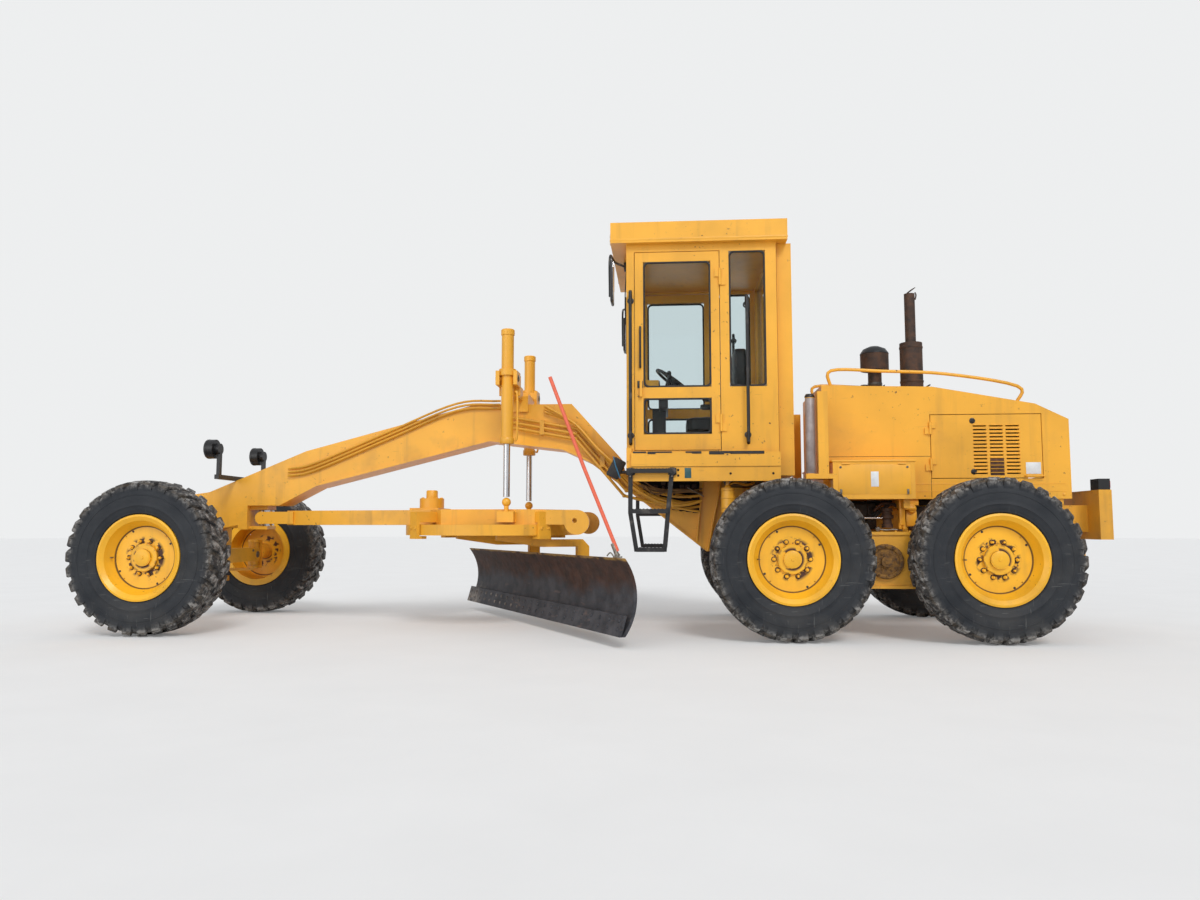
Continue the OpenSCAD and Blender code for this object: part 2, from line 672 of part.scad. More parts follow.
module ladders() color(BLACK) from_pivot() both_sides() {
    y = sill_w / 2 + seat_gap;
    for (s = stiles) side_plate(y, y + 12) polygon([
        [s[0] - 18, 1350], [s[0] + 18, 1350], [s[1] + 18, 985], [s[2] + 18, 672], [s[2] - 18, 672], [s[1] - 18, 985]
    ]);
    for (i = [0 : 2])
        block([stiles[1][2 - i], y, step_heights[i]], [stiles[0][2 - i], y + 60, step_heights[i] + 34]);
    for (s = stiles) block([s[0] - 34, y, 1290], [s[0] + 34, y + 22, 1345]);
}

module front_axle() color(YELLOW) from_pivot() {
    z = lean_z;
    ear = 64;
    difference() {
        union() {
            // Beam with a raised middle that hangs in the nose
            side_beam(z);
            both_sides() for (x = [-92, 62]) translate([wheelbase + x, 0, 0]) {
                block([0, 560, z - ear + 2], [30, lean_y, z + ear - 2]);
                translate([0, lean_y, z]) rotate([0, 90, 0]) cylinder(h = 30, r = ear, $fn = 40);
            }
            both_sides() translate([wheelbase - 92, lean_y, z]) rotate([0, 90, 0])
                cylinder(h = 184, r = lean_r, $fn = 40);
        }
        // Room for the knuckles' tongues
        both_sides() difference() {
            translate([wheelbase - 61, lean_y, z]) rotate([0, 90, 0]) cylinder(h = 122, r = 90, $fn = 40);
            translate([wheelbase - 62, lean_y, z]) rotate([0, 90, 0]) cylinder(h = 124, r = lean_r, $fn = 40);
        }
    }
}

module side_beam(z) {
    block([wheelbase - 92, -lean_y + 60, z - 66], [wheelbase + 92, lean_y - 60, z + 66]);
    block([wheelbase - 85, -170, z + 65], [wheelbase + 85, 170, 859 - seat_gap + 1]);
    translate([wheelbase - 130, 0, 780]) rotate([0, 90, 0]) cylinder(h = 260, r = 60, $fn = 40);
}

module lean_knuckle(side) color(YELLOW) from_pivot() on_side(side) difference() {
    union() {
        translate([wheelbase - 55, lean_y, lean_z]) rotate([0, 90, 0]) cylinder(h = 110, r = 66, $fn = 40);
        block([wheelbase - 55, lean_y, lean_z - 50], [wheelbase + 55, king_y, lean_z + 50]);
        translate([wheelbase, king_y, lean_z - 110]) cylinder(h = 220, r = 50, $fn = 40);
    }
    translate([wheelbase - 56, lean_y, lean_z]) rotate([0, 90, 0])
        cylinder(h = 112, r = lean_r + turn_gap, $fn = 40);
    translate([wheelbase, king_y, lean_z - 111]) cylinder(h = 222, r = king_r + turn_gap, $fn = 40);
}

module steer_fork(side) color(YELLOW) from_pivot() on_side(side) {
    for (z = [-145, 115]) translate([wheelbase, king_y, lean_z + z]) {
        cylinder(h = 30, r = 55, $fn = 40);
        block([-50, 0, 0], [50, 90, 30]);
    }
    block([wheelbase - 50, king_y + 62, lean_z - 144], [wheelbase + 50, king_y + 92, lean_z + 144]);
    translate([wheelbase, king_y, lean_z - 144]) cylinder(h = 288, r = king_r, $fn = 40);
    translate([wheelbase, king_y + 91, wheel_r]) rotate([-90, 0, 0])
        cylinder(h = track / 2 + hub_face - king_y - 91 - seat_gap, r = 80, $fn = 40);
    // Steering arm forward and inward to the tie rod
    translate([wheelbase, king_y, lean_z - arm_low]) {
        linear_extrude(25) polygon([[24, 32], [-24, -32], [arm_l - 16, -arm_in - 22], [arm_l + 16, -arm_in + 22]]);
        translate([arm_l, -arm_in, 0]) cylinder(h = 25, r = 32, $fn = 32);
    }
}
// The steering arm's end, forward of the kingpin and inside it, and its underside below the lean pivots
arm_l = 200;
arm_in = 150;
arm_low = 165;

module tie_rod() color(YELLOW) from_pivot() {
    z = lean_z - arm_low - 71;
    end = king_y - arm_in;
    both_sides() translate([wheelbase + arm_l, end, z - 24]) cylinder(h = 48, r = 28, $fn = 32);
    bar([wheelbase + arm_l, -end, z], [wheelbase + arm_l, end, z], 20);
}

/* Drawbar, circle and blade */

module drawbar_swivel() color(STEEL) from_pivot() translate([ball_x, 0, ball_z]) difference() {
    union() {
        cylinder(h = 140, r = 68, center = true, $fn = 48);
        cylinder(h = 2 * swivel_top, r = 30, center = true, $fn = 40);
    }
    rotate([90, 0, 0]) cylinder(h = 200, r = 24 + turn_gap, center = true, $fn = 40);
}
// Half height of the swivel with its stub pins
swivel_top = 105;

// Plan of the drawbar: the two legs from the ball to the plate over the circle
module drawbar() color(YELLOW) from_pivot() {
    low = circle_z + circle_t + seat_gap;
    high = low + drawbar_t;
    difference() {
        translate([0, 0, low]) linear_extrude(drawbar_t) polygon([
            [ball_x - 230, 75], [circle_x + 480, 330], [circle_x + 330, 560], [circle_x - 480, 560],
            [circle_x - 700, 330], [circle_x - 700, -330], [circle_x - 480, -560],
            [circle_x + 330, -560], [circle_x + 480, -330], [ball_x - 230, -75]
        ]);
        translate([0, 0, low - 1]) linear_extrude(drawbar_t + 2) {
            polygon([[ball_x - 560, 10], [circle_x + 560, 200], [circle_x + 560, -200], [ball_x - 560, -10]]);
            translate([circle_x, 0]) circle(r = 330, $fn = 64);
        }
    }
    // Clevis with the pin through the swivel
    for (y = [-115, 75]) side_plate(y, y + 40) {
        translate([ball_x, ball_z]) circle(r = 58, $fn = 40);
        translate([ball_x - 300, low + 10]) square([300, drawbar_t - 20]);
    }
    block([ball_x - 300, -76, low + 10], [ball_x - 200, 76, high - 10]);
    translate([ball_x, -114, ball_z]) rotate([-90, 0, 0]) cylinder(h = 228, r = 24, $fn = 32);
    both_sides() {
        // Upright ear plates of the rear corners, and the studs of the lift cylinders
        difference() {
            side_plate(520, 560) {
                translate([circle_x - 830, low + 20]) circle(r = 105, $fn = 40);
                translate([circle_x - 830, low + 1]) square([400, drawbar_t - 6]);
            }
            translate([circle_x - 812, 500, low + 35]) rotate([-90, 0, 0]) cylinder(h = 80, r = 20, $fn = 32);
        }
        translate([lift_x, lift_y, lift_foot_z]) sphere(r = 38, $fn = 40);
        translate([lift_x, lift_y, low + 20]) cylinder(h = lift_foot_z - low - 20, r = 20, $fn = 40);
        block([lift_x - 70, 500, low + 20], [lift_x + 70, lift_y + 60, high - 20]);
    }
    // Shoes that hold the circle up
    for (a = [45 : 90 : 315]) translate([circle_x, 0, 0]) rotate(a) {
        block([circle_d / 2 + 6, -60, circle_z - 30], [circle_d / 2 + 34, 60, low + 40]);
        block([circle_d / 2 - 60, -60, circle_z - 30], [circle_d / 2 + 34, 60, circle_z - 6]);
        block([330, -60, low + 20], [circle_d / 2 + 33, 60, high - 20]);
    }
    // Circle drive housing
    translate([circle_x + 560, 0, high - 60]) cylinder(h = 170, r = 110, $fn = 40);
    block([circle_x + 440, -230, high - 40], [circle_x + 700, 230, high + 20]);
}

module ring_gear() rotate_extrude($fn = 96)
    translate([circle_d / 2 - ring_w, 0]) square([ring_w, circle_t]);

// Local frame of the circle: turned to the parked blade angle, origin at its middle on the ground
module circle_frame() from_pivot() translate([circle_x, 0, 0]) rotate(circle_turn) children();

// Radial width of the circle, and the arms that carry the blade from it
ring_w = 165;
arm_y = 560;
arm_t = 50;
tip_x = -blade_back - 290;
tip_z = blade_z + 170;
tip_r = 24;

module circle_ring() color(YELLOW) circle_frame() {
    under = circle_z - 35;
    translate([0, 0, circle_z]) ring_gear();
    both_sides() {
        difference() {
            side_plate(arm_y, arm_y + arm_t) {
                polygon([
                    [-330, circle_z + 20], [160, circle_z + 20], [160, circle_z - 40], [-250, circle_z - 100],
                    [tip_x + 10, circle_z - 100], [tip_x + 10, tip_z], [tip_x - 100, tip_z], [tip_x - 100, under - 60],
                    [tip_x - 40, under], [-330, under]
                ]);
                translate([tip_x, tip_z]) circle(r = 42, $fn = 40);
            }
            translate([tip_x, 0, tip_z]) rotate([-90, 0, 0]) cylinder(h = 700, r = tip_r + turn_gap, $fn = 40);
        }
    }
}

// Half width of the blade's curve at a height above the chord's middle
function sagitta(z) = blade_r - sqrt(blade_r * blade_r - z * z);

blade_mid = blade_z + blade_h / 2;
// Rail heights on the blade's back, counted from its middle
rail_z1 = -110;
rail_z2 = 160;

module blade_frame() circle_frame() translate([-blade_back, blade_slide, blade_mid]) children();
blade_slide = blade_back * tan(circle_turn);

module blade() color(RUST) blade_frame() {
    depth = sagitta(blade_h / 2);
    half = blade_l / 2;
    back = -depth - blade_t;
    side_plate(-half, half) intersection() {
        translate([blade_r - depth, 0]) difference() {
            circle(r = blade_r + blade_t, $fn = 96);
            circle(r = blade_r, $fn = 96);
        }
        translate([-depth - 60, -blade_h / 2]) square([depth + 75, blade_h]);
    }
    // Cutting edge bolted over the lower face
    side_plate(-half + 2, half - 2) polygon([
        [-2, -blade_h / 2], [16, -blade_h / 2], [-28, -blade_h / 2 + edge_h], [-46, -blade_h / 2 + edge_h]
    ]);
    // Rails on the back, that slide in the carrier
    for (z = [rail_z1, rail_z2]) block(
        [back - rail_d, -half + 330, z - rail_half], [back + sagitta(z) + 6, half - 330, z + rail_half]
    );
    // Slide rod between two lugs
    both_sides() block([rod_x - 25, half - 420, rod_z - 40], [back + 20, half - 380, rod_z + 40]);
    bar([rod_x, -half + 400, rod_z], [rod_x, half - 400, rod_z], rod_r);
}
// Rails and slide rod behind the blade, from its chord's middle
rail_d = 62;
rail_half = 22;
rod_x = -200;
rod_z = 30;
rod_r = 20;

module blade_carrier() color(YELLOW) circle_frame() {
    depth = sagitta(blade_h / 2);
    back = -depth - blade_t;
    outer = arm_y - 5;
    both_sides() translate([-blade_back, 0, blade_mid]) for (z = [rail_z1, rail_z2]) difference() {
        block([tip_x + blade_back - 40, outer - 60, z - 46], [back - 20, outer, z + 46]);
        block([back - rail_d - seat_gap, 0, z - rail_half - seat_gap], [back + 10, arm_y, z + rail_half + seat_gap]);
    }
    both_sides() {
        translate([tip_x, outer - 1, tip_z]) rotate([-90, 0, 0]) cylinder(h = arm_t + 20, r = tip_r, $fn = 40);
        block([tip_x - 40, outer - 60, blade_mid + rail_z1 + 45], [tip_x + 14, outer, blade_mid + rail_z2 - 45]);
    }
    // Barrel of the side shift, round the blade's slide rod
    translate([-blade_back, 0, blade_mid]) difference() {
        union() {
            bar([rod_x, -outer + 1, rod_z], [rod_x, outer - 1, rod_z], 44);
            both_sides() block([tip_x + blade_back, outer - 60, rod_z - 40], [rod_x, outer, rod_z + 40]);
        }
        bar([rod_x, -outer - 10, rod_z], [rod_x, outer + 10, rod_z], rod_r + turn_gap);
    }
}

/* Cylinders */

lift_foot_z = circle_z + circle_t + drawbar_t + 59;

module lift_barrel(side) color(YELLOW) from_pivot() on_side(side) difference() {
    union() {
        translate([lift_x, lift_y, lift_z - barrel_low]) cylinder(h = barrel_low + barrel_high, r = 52, $fn = 40);
        translate([lift_x - 92, lift_y, lift_z]) rotate([0, 90, 0]) cylinder(h = 184, r = 20, $fn = 40);
    }
    translate([lift_x, lift_y, lift_z - barrel_low - 1])
        cylinder(h = barrel_low + barrel_high - 40, r = lift_rod_r + turn_gap, $fn = 40);
}
// Lift cylinder: reach of the barrel below and above its pivot, and the rod in it
barrel_low = 560;
barrel_high = 420;
lift_rod_r = 28;
rod_inside = 600;

module lift_rod(side) color(STEEL) from_pivot() on_side(side)
    translate([lift_x, lift_y, lift_foot_z + 45])
        cylinder(h = lift_z - barrel_low + rod_inside - lift_foot_z - 45, r = lift_rod_r, $fn = 40);

/* Fittings */

module lamp() {
    rotate([0, 90, 0]) cylinder(h = 70, r = 85, $fn = 40);
    translate([-40, 0, 0]) rotate([0, 90, 0]) cylinder(h = 41, r = 50, $fn = 40);
}

module lamps_front() color(BLACK) from_pivot() {
    // The bar over the gooseneck that carries both lamps
    bar_x = neck_end - 250;
    foot = neck_top(bar_x) + seat_gap;
    both_sides() translate([bar_x + 50, lamp_y, lamp_z]) lamp();
    block([bar_x, -lamp_y - 40, foot], [bar_x + 40, lamp_y + 40, foot + 40]);
    both_sides() block([bar_x + 5, lamp_y - 20, foot + 39], [bar_x + 35, lamp_y + 20, lamp_z - 30]);
}

// Distance of the head lamps from the middle, and their height
lamp_y = 430;
lamp_z = 1560;

module lamps_rear() color(BLACK) from_pivot() both_sides()
    block([-tail_reach, 400, rail_high + 120 + seat_gap], [-tail_reach + 90, 540, rail_high + 210]);

module air_canister() color(YELLOW) from_pivot() {
    y = sill_w / 2 - 140;
    translate([1215, y, 990]) cylinder(h = 200, r = 55, $fn = 40);
    translate([1215, y, 1189]) cylinder(h = sill_seam - seat_gap - 1189, r = 16, $fn = 24);
}

module service_lines() color(YELLOW) from_pivot() {
    for (i = [0 : 2]) pipe([
        [1500 + i * 60, 175 + i * 4, 1130 - i * 50], [2050 + i * 20, 185 + i * 4, 1235 - i * 45],
        [2500 + i * 10, 185 + i * 4, 1740 - i * 45], [3150, 185, 1860 - i * 45]
    ], 13);
    // Clamps against the gooseneck's side
    for (c = [[1800, 1055, 1210], [2280, 1400, 1515], [2820, 1690, 1820]])
        block([c[0] - 20, neck_w / 2 + seat_gap, c[1]], [c[0] + 20, neck_w / 2 + 55, c[2]]);
}

rear_frame();
rear_axle();
side_boxes();
tandem(1);  // tandem_left
tandem(-1);  // tandem_right
power_unit();
hood();
rear_grille();
engine_door(1);  // engine_door_left
engine_door(-1);  // engine_door_right
exhaust();
rim(tandem_pitch / 2, 1);  // rim_rear_fore_left
rim(tandem_pitch / 2, -1);  // rim_rear_fore_right
rim(-tandem_pitch / 2, 1);  // rim_rear_aft_left
rim(-tandem_pitch / 2, -1);  // rim_rear_aft_right
rim(wheelbase, 1);  // rim_front_left
rim(wheelbase, -1);  // rim_front_right
tyre(tandem_pitch / 2, 1);  // tyre_rear_fore_left
tyre(tandem_pitch / 2, -1);  // tyre_rear_fore_right
tyre(-tandem_pitch / 2, 1);  // tyre_rear_aft_left
tyre(-tandem_pitch / 2, -1);  // tyre_rear_aft_right
tyre(wheelbase, 1);  // tyre_front_left
tyre(wheelbase, -1);  // tyre_front_right
front_frame();
lift_saddle();
swivel_bracket();
cab();
cab_glass();
rops_posts();
cab_door(1);  // cab_door_left
cab_door(-1);  // cab_door_right
door_glass(1);  // door_glass_left
door_glass(-1);  // door_glass_right
seat();
console();
ladders();
front_axle();
lean_knuckle(1);  // lean_knuckle_left
lean_knuckle(-1);  // lean_knuckle_right
steer_fork(1);  // steer_fork_left
steer_fork(-1);  // steer_fork_right
tie_rod();
drawbar_swivel();
drawbar();
circle_ring();
blade_carrier();
blade();
lift_barrel(1);  // lift_barrel_left
lift_barrel(-1);  // lift_barrel_right
lift_rod(1);  // lift_rod_left
lift_rod(-1);  // lift_rod_right
lamps_front();
lamps_rear();
air_canister();
service_lines();
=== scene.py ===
"""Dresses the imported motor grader: worn yellow paint, lugged tyres, a rusted blade and the cab's trim."""

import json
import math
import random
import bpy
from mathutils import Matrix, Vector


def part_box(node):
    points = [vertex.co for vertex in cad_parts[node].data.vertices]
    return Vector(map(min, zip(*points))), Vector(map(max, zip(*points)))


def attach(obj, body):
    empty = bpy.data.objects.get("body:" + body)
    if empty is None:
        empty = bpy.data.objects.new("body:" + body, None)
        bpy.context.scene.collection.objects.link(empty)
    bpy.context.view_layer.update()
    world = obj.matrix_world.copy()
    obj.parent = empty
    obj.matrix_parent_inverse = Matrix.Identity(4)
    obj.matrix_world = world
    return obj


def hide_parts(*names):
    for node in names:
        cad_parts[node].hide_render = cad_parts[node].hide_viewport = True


bl_info = {
    "name": "Motor grader looks",
    "version": (1, 0, 0),
    "blender": (4, 5, 0),
    "location": "3D Viewport > Sidebar > Grader",
    "description": "Finishes, tyres and trim for the packed motor grader",
    "category": "Object",
}

from collections import namedtuple

import bmesh
import bpy
from bpy.props import FloatProperty, FloatVectorProperty, IntProperty, PointerProperty
from mathutils import Matrix, Vector

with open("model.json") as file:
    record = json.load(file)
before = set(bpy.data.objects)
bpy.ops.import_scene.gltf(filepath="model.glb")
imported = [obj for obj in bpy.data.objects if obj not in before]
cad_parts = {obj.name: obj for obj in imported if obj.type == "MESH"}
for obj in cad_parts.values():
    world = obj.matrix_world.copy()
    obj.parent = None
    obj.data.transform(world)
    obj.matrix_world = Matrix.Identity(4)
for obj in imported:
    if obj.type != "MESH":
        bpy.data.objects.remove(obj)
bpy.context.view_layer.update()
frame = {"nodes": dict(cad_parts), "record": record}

# Stations along X are metres from the tandem pivot, as in the part's source
MID_X = 2.375
WHEELS = {"rear_fore": 0.762, "rear_aft": -0.762, "front": 5.920}
WHEEL_Y, WHEEL_Z = 1.025, 0.625
CIRCLE_X = 3.300
BLADE_TURN = math.radians(30)
ACROSS, ALONG, UP = Vector((0, 1, 0)), Vector((1, 0, 0)), Vector((0, 0, 1))

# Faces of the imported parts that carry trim, out from the middle
HOOD_FACE, BOX_FACE, SILL_FACE, CAB_FACE, PANE_Y = 0.520, 0.800, 0.800, 0.720, 0.714

Side = namedtuple("Side", "name sign")
SIDES = (Side("left", 1), Side("right", -1))


# Shader maths

class Channel:
    """A node's output that takes part in Python arithmetic."""

    def __init__(self, graph, socket):
        self.graph, self.socket = graph, socket

    def maths(self, operation, *values, clamp=False):
        return self.graph.node("ShaderNodeMath", {"operation": operation, "use_clamp": clamp}, values)

    def __add__(self, other):
        return self.maths("ADD", self, other)

    def __sub__(self, other):
        return self.maths("SUBTRACT", self, other)

    def __rsub__(self, other):
        return self.maths("SUBTRACT", other, self)

    def __mul__(self, other):
        return self.maths("MULTIPLY", self, other)

    def __pow__(self, other):
        return self.maths("POWER", self, other)

    def __abs__(self):
        return self.maths("ABSOLUTE", self)

    def least(self, other):
        return self.maths("MINIMUM", self, other)

    def most(self, other):
        return self.maths("MAXIMUM", self, other)

    def wave(self):
        return self.maths("SINE", self)

    def step(self, low, high):
        """0 below low, 1 above high, straight between them; the other way round when high < low."""
        slope = 1.0 / (high - low)
        return self.maths("MULTIPLY_ADD", self, slope, -low * slope, clamp=True)

    def band(self, start, full, fade, end):
        """1 from full to fade, 0 below start and above end."""
        return self.step(start, full) * self.step(end, fade)

    __radd__, __rmul__ = __add__, __mul__


class Graph:
    """A node tree that Python expressions add to."""

    def __init__(self, tree):
        self.tree = tree

    def node(self, kind, settings=None, values=(), out=0):
        """Adds a node: its settings first, then its sockets' values or links."""
        made = self.tree.nodes.new(kind)
        for key, value in (settings or {}).items():
            if key == "stops":
                ramp = made.color_ramp
                while len(ramp.elements) < len(value):
                    ramp.elements.new(1.0)
                for element, (position, colour) in zip(ramp.elements, value):
                    element.position, element.color = position, colour
            else:
                setattr(made, key, value)
        for key, value in values.items() if isinstance(values, dict) else enumerate(values):
            if isinstance(value, Channel):
                self.tree.links.new(value.socket, made.inputs[key])
            else:
                made.inputs[key].default_value = value
        return Channel(self, made.outputs[out])

    def mix(self, factor, first, second):
        """Mixes two colours."""
        first, second = (c if isinstance(c, Channel) else (*c[:3], 1) for c in (first, second))
        return self.node("ShaderNodeMix", {"data_type": "RGBA"}, {0: factor, 6: first, 7: second}, out=2)


class Finish(Graph):
    """A procedural material with one principled shader."""

    def __init__(self, name, **constants):
        self.material = bpy.data.materials.new(name)
        self.material.use_nodes = True
        super().__init__(self.material.node_tree)
        self.shader = self.tree.nodes["Principled BSDF"]
        for key, value in constants.items():
            self.shader.inputs[key.replace("_", " ")].default_value = value
        self.place = self.node("ShaderNodeTexCoord", out="Object")

    def axes(self):
        """The surface point's X, Y and Z."""
        split = self.node("ShaderNodeSeparateXYZ", values=(self.place,))
        return [Channel(self, split.socket.node.outputs[i]) for i in range(3)]

    def noise(self, scale, detail=3.0, stretch=None, rough=0.55):
        place = self.place
        if stretch:
            place = self.node("ShaderNodeVectorMath", {"operation": "MULTIPLY"}, (place, stretch))
        return self.node(
            "ShaderNodeTexNoise", values={"Vector": place, "Scale": scale, "Detail": detail, "Roughness": rough}
        )

    def feed(self, socket, channel):
        self.tree.links.new(channel.socket, self.shader.inputs[socket])

    def relief(self, height, strength=0.5, depth=0.002):
        self.feed("Normal", self.node(
            "ShaderNodeBump", values={"Strength": strength, "Distance": depth, "Height": height}
        ))


def shade(colour, amount):
    return tuple(part * amount for part in colour)


def from_wheel(finish, origin):
    """Distance from the nearest wheel's axle, seen from the side, where the mesh counts X from a station."""
    x, _, z = finish.axes()
    nearest = None
    for station in WHEELS.values():
        gap = abs(x - (station - origin))
        nearest = gap if nearest is None else nearest.least(gap)
    return (nearest * nearest + (z - WHEEL_Z) ** 2) ** 0.5


def painted(name, colour, colours, grime=0.5, chips=0.5, wheel=None):
    """Old machine paint: faded patches, dust, runs of grime and chips down to rust.

    On a wheel it also chips round the nuts and the cap, and wheel is the station of the mesh's origin.
    """
    finish = Finish(name, Coat_Weight=0.12, Coat_Roughness=0.25)
    _, _, z = finish.axes()
    faded = ((0.30, 0.84), (0.52, 1.0), (0.72, 1.10))
    stops = [(position, (*shade(colour, amount), 1)) for position, amount in faded]
    tone = finish.node("ShaderNodeValToRGB", {"stops": stops}, (finish.noise(1.6, 4),))
    runs = finish.noise(1.0, 3, stretch=(11, 11, 0.9)).step(0.56, 0.80) * (0.55 * grime)
    dust = finish.noise(5.5, 5).step(0.46, 0.76) * z.step(1.0, 0.1) * grime
    soil = finish.noise(2.3, 4).step(0.55, 0.72) * (0.35 * grime)
    coloured = finish.mix(runs, tone, shade(colours.grime, 0.8))
    coloured = finish.mix(dust.most(soil), coloured, colours.grime)
    where = finish.noise(1.9, 2).step(0.50 - 0.06 * chips, 0.66)
    chipped = finish.noise(30, 5, rough=0.62).step(0.665 - 0.03 * chips, 0.69) * where
    scratch = finish.noise(3.0, 4, stretch=(1.5, 1.5, 34)).step(0.70, 0.74) * where * 0.8
    bare = chipped.most(scratch)
    if wheel is not None:
        radius = from_wheel(finish, wheel)
        nuts = radius.band(0.095, 0.118, 0.150, 0.175)
        collar = radius.band(0.067, 0.069, 0.080, 0.094)
        seam = radius.band(0.2430, 0.2470, 0.2530, 0.2570)
        bare = bare.most(finish.noise(17, 5).step(0.50, 0.56) * nuts)
        bare = bare.most(finish.noise(6, 3).step(0.50, 0.53) * collar)
        bare = bare.most(seam * 0.9)
    rust = finish.mix(finish.noise(60, 3), (0.030, 0.018, 0.014), colours.rust)
    coloured = finish.mix(bare, coloured, rust)
    finish.feed("Base Color", coloured)
    finish.feed("Roughness", (0.34 + dust * 0.35).most(bare * 0.75) + finish.noise(8, 2) * 0.12)
    finish.relief(finish.noise(170, 2) * 0.12 - bare, 0.35, 0.0012)
    return finish.material


def dark_paint(name, colour, scuff=(0.12, 0.105, 0.09)):
    finish = Finish(name)
    worn = finish.noise(9, 5).step(0.58, 0.76)
    finish.feed("Base Color", finish.mix(worn, colour, scuff))
    finish.feed("Roughness", 0.38 + worn * 0.35)
    finish.relief(finish.noise(140, 3), 0.25, 0.001)
    return finish.material


def tyre_rubber(name):
    """Weathered rubber: blue-black walls, grey dusty lugs and dried earth in the grooves."""
    finish = Finish(name, Specular_IOR_Level=0.35)
    x, _, z = finish.axes()
    radius = (x * x + z * z) ** 0.5
    wall = finish.mix(finish.noise(5, 5).step(0.3, 0.7), (0.010, 0.013, 0.018), (0.026, 0.029, 0.034))
    scraped = finish.noise(24, 6, rough=0.7).step(0.47, 0.66)
    lug = finish.mix(scraped, (0.030, 0.029, 0.030), (0.200, 0.190, 0.178))
    coloured = finish.mix(radius.step(0.545, 0.590), wall, lug)
    scuffed = finish.noise(15, 6, rough=0.72).step(0.52, 0.60) * radius.step(0.560, 0.600)
    coloured = finish.mix(scuffed * 0.85, coloured, (0.400, 0.385, 0.365))
    groove = finish.noise(12, 4).step(0.42, 0.6) * radius.step(0.612, 0.600) * radius.step(0.580, 0.592)
    coloured = finish.mix(groove * 0.8, coloured, (0.095, 0.075, 0.055))
    dusty = finish.noise(3.2, 5).step(0.50, 0.74) * 0.32
    coloured = finish.mix(dusty, coloured, (0.105, 0.100, 0.092))
    for stretch in ((34, 1, 3.5), (4, 1, 30)):
        patches = finish.noise(3.0, 2).step(0.45, 0.60)
        scratch = finish.noise(2.0, 3, stretch=stretch).step(0.655, 0.70) * patches
        coloured = finish.mix(scratch * 0.3, coloured, (0.19, 0.19, 0.185))
    finish.feed("Base Color", coloured)
    finish.feed("Roughness", 0.62 + dusty * 0.6)
    rings = (radius * 620.0).wave() * radius.step(0.53, 0.51) * 0.25
    finish.relief(finish.noise(90, 4) + rings, 0.45, 0.0022)
    return finish.material


def blade_iron(name):
    """Brown rust above, dark scoured iron with dried earth below, dull paint along the top."""
    finish = Finish(name, Metallic=0.25)
    x, y, z = finish.axes()
    reach = y * math.cos(BLADE_TURN) - x * math.sin(BLADE_TURN)
    border = z + (finish.noise(2.1, 4) - 0.5) * 0.42 + finish.noise(14, 3) * 0.05
    rusty, scrubbed = finish.noise(7, 6, rough=0.7), finish.noise(10, 6, rough=0.7)
    rust = finish.mix(rusty.step(0.32, 0.7), (0.024, 0.012, 0.009), (0.092, 0.038, 0.022))
    scoured = finish.mix(scrubbed.step(0.35, 0.68), (0.026, 0.027, 0.033), (0.088, 0.087, 0.097))
    coloured = finish.mix(border.step(0.40, 0.50), scoured, rust)
    smear = finish.noise(4.5, 4, stretch=(1, 1, 5)).step(0.62, 0.74) * border.step(0.46, 0.34)
    coloured = finish.mix(smear * 0.7, coloured, (0.165, 0.115, 0.100))
    end = abs(reach - 0.02).step(1.66, 1.92) * z.step(0.30, 0.12)
    coloured = finish.mix(end * finish.noise(18, 5).step(0.35, 0.6), coloured, (0.36, 0.32, 0.28))
    paint = (z + finish.noise(9, 3) * 0.03).step(0.640, 0.650) * finish.noise(6, 4).step(0.38, 0.48)
    finish.feed("Base Color", finish.mix(paint, coloured, (0.34, 0.19, 0.045)))
    finish.feed("Roughness", 0.48 + finish.noise(20, 4) * 0.35)
    finish.relief(finish.noise(60, 6, rough=0.7), 0.55, 0.002)
    return finish.material


def mottled(name, low, high, scale=12, rough=0.6, metal=0.0, depth=0.0015):
    """Two close colours in patches, such as iron, rubber or a faded label."""
    finish = Finish(name, Metallic=metal)
    finish.feed("Base Color", finish.mix(finish.noise(scale, 6, rough=0.65).step(0.32, 0.70), low, high))
    finish.feed("Roughness", rough - 0.1 + finish.noise(scale * 2, 3) * 0.2)
    finish.relief(finish.noise(scale * 7, 4), 0.4, depth)
    return finish.material


def vinyl(name):
    finish = Finish(name, Specular_IOR_Level=0.4)
    grain = finish.node("ShaderNodeTexVoronoi", values={"Vector": finish.place, "Scale": 330.0})
    worn = finish.noise(9, 4).step(0.52, 0.75)
    finish.feed("Base Color", finish.mix(worn, (0.014, 0.014, 0.015), (0.050, 0.047, 0.044)))
    finish.feed("Roughness", 0.42 + worn * 0.25)
    finish.relief(grain, 0.3, 0.0006)
    return finish.material


def window_glass(name, tint=(0.80, 0.87, 0.88, 1)):
    finish = Finish(name, Transmission_Weight=1.0, IOR=1.20, Base_Color=tint)
    finish.feed("Roughness", finish.noise(6, 3).step(0.55, 0.9) * 0.10 + 0.01)
    return finish.material


def lens(name, colour):
    finish = Finish(name, Coat_Weight=1.0, Coat_Roughness=0.03, Base_Color=(*colour, 1))
    finish.feed("Roughness", finish.noise(40, 2) * 0.15 + 0.08)
    ribs = finish.node("ShaderNodeTexWave", values={"Vector": finish.place, "Scale": 30.0})
    finish.relief(ribs, 0.5, 0.001)
    return finish.material


def polished_rod(name):
    finish = Finish(name, Metallic=1.0, Base_Color=(0.62, 0.62, 0.63, 1))
    film = finish.noise(14, 4, stretch=(1, 1, 0.2)).step(0.45, 0.7)
    finish.feed("Roughness", 0.14 + film * 0.3)
    finish.relief(finish.noise(260, 2, stretch=(1, 1, 0.1)), 0.1, 0.0004)
    return finish.material


# Mesh work

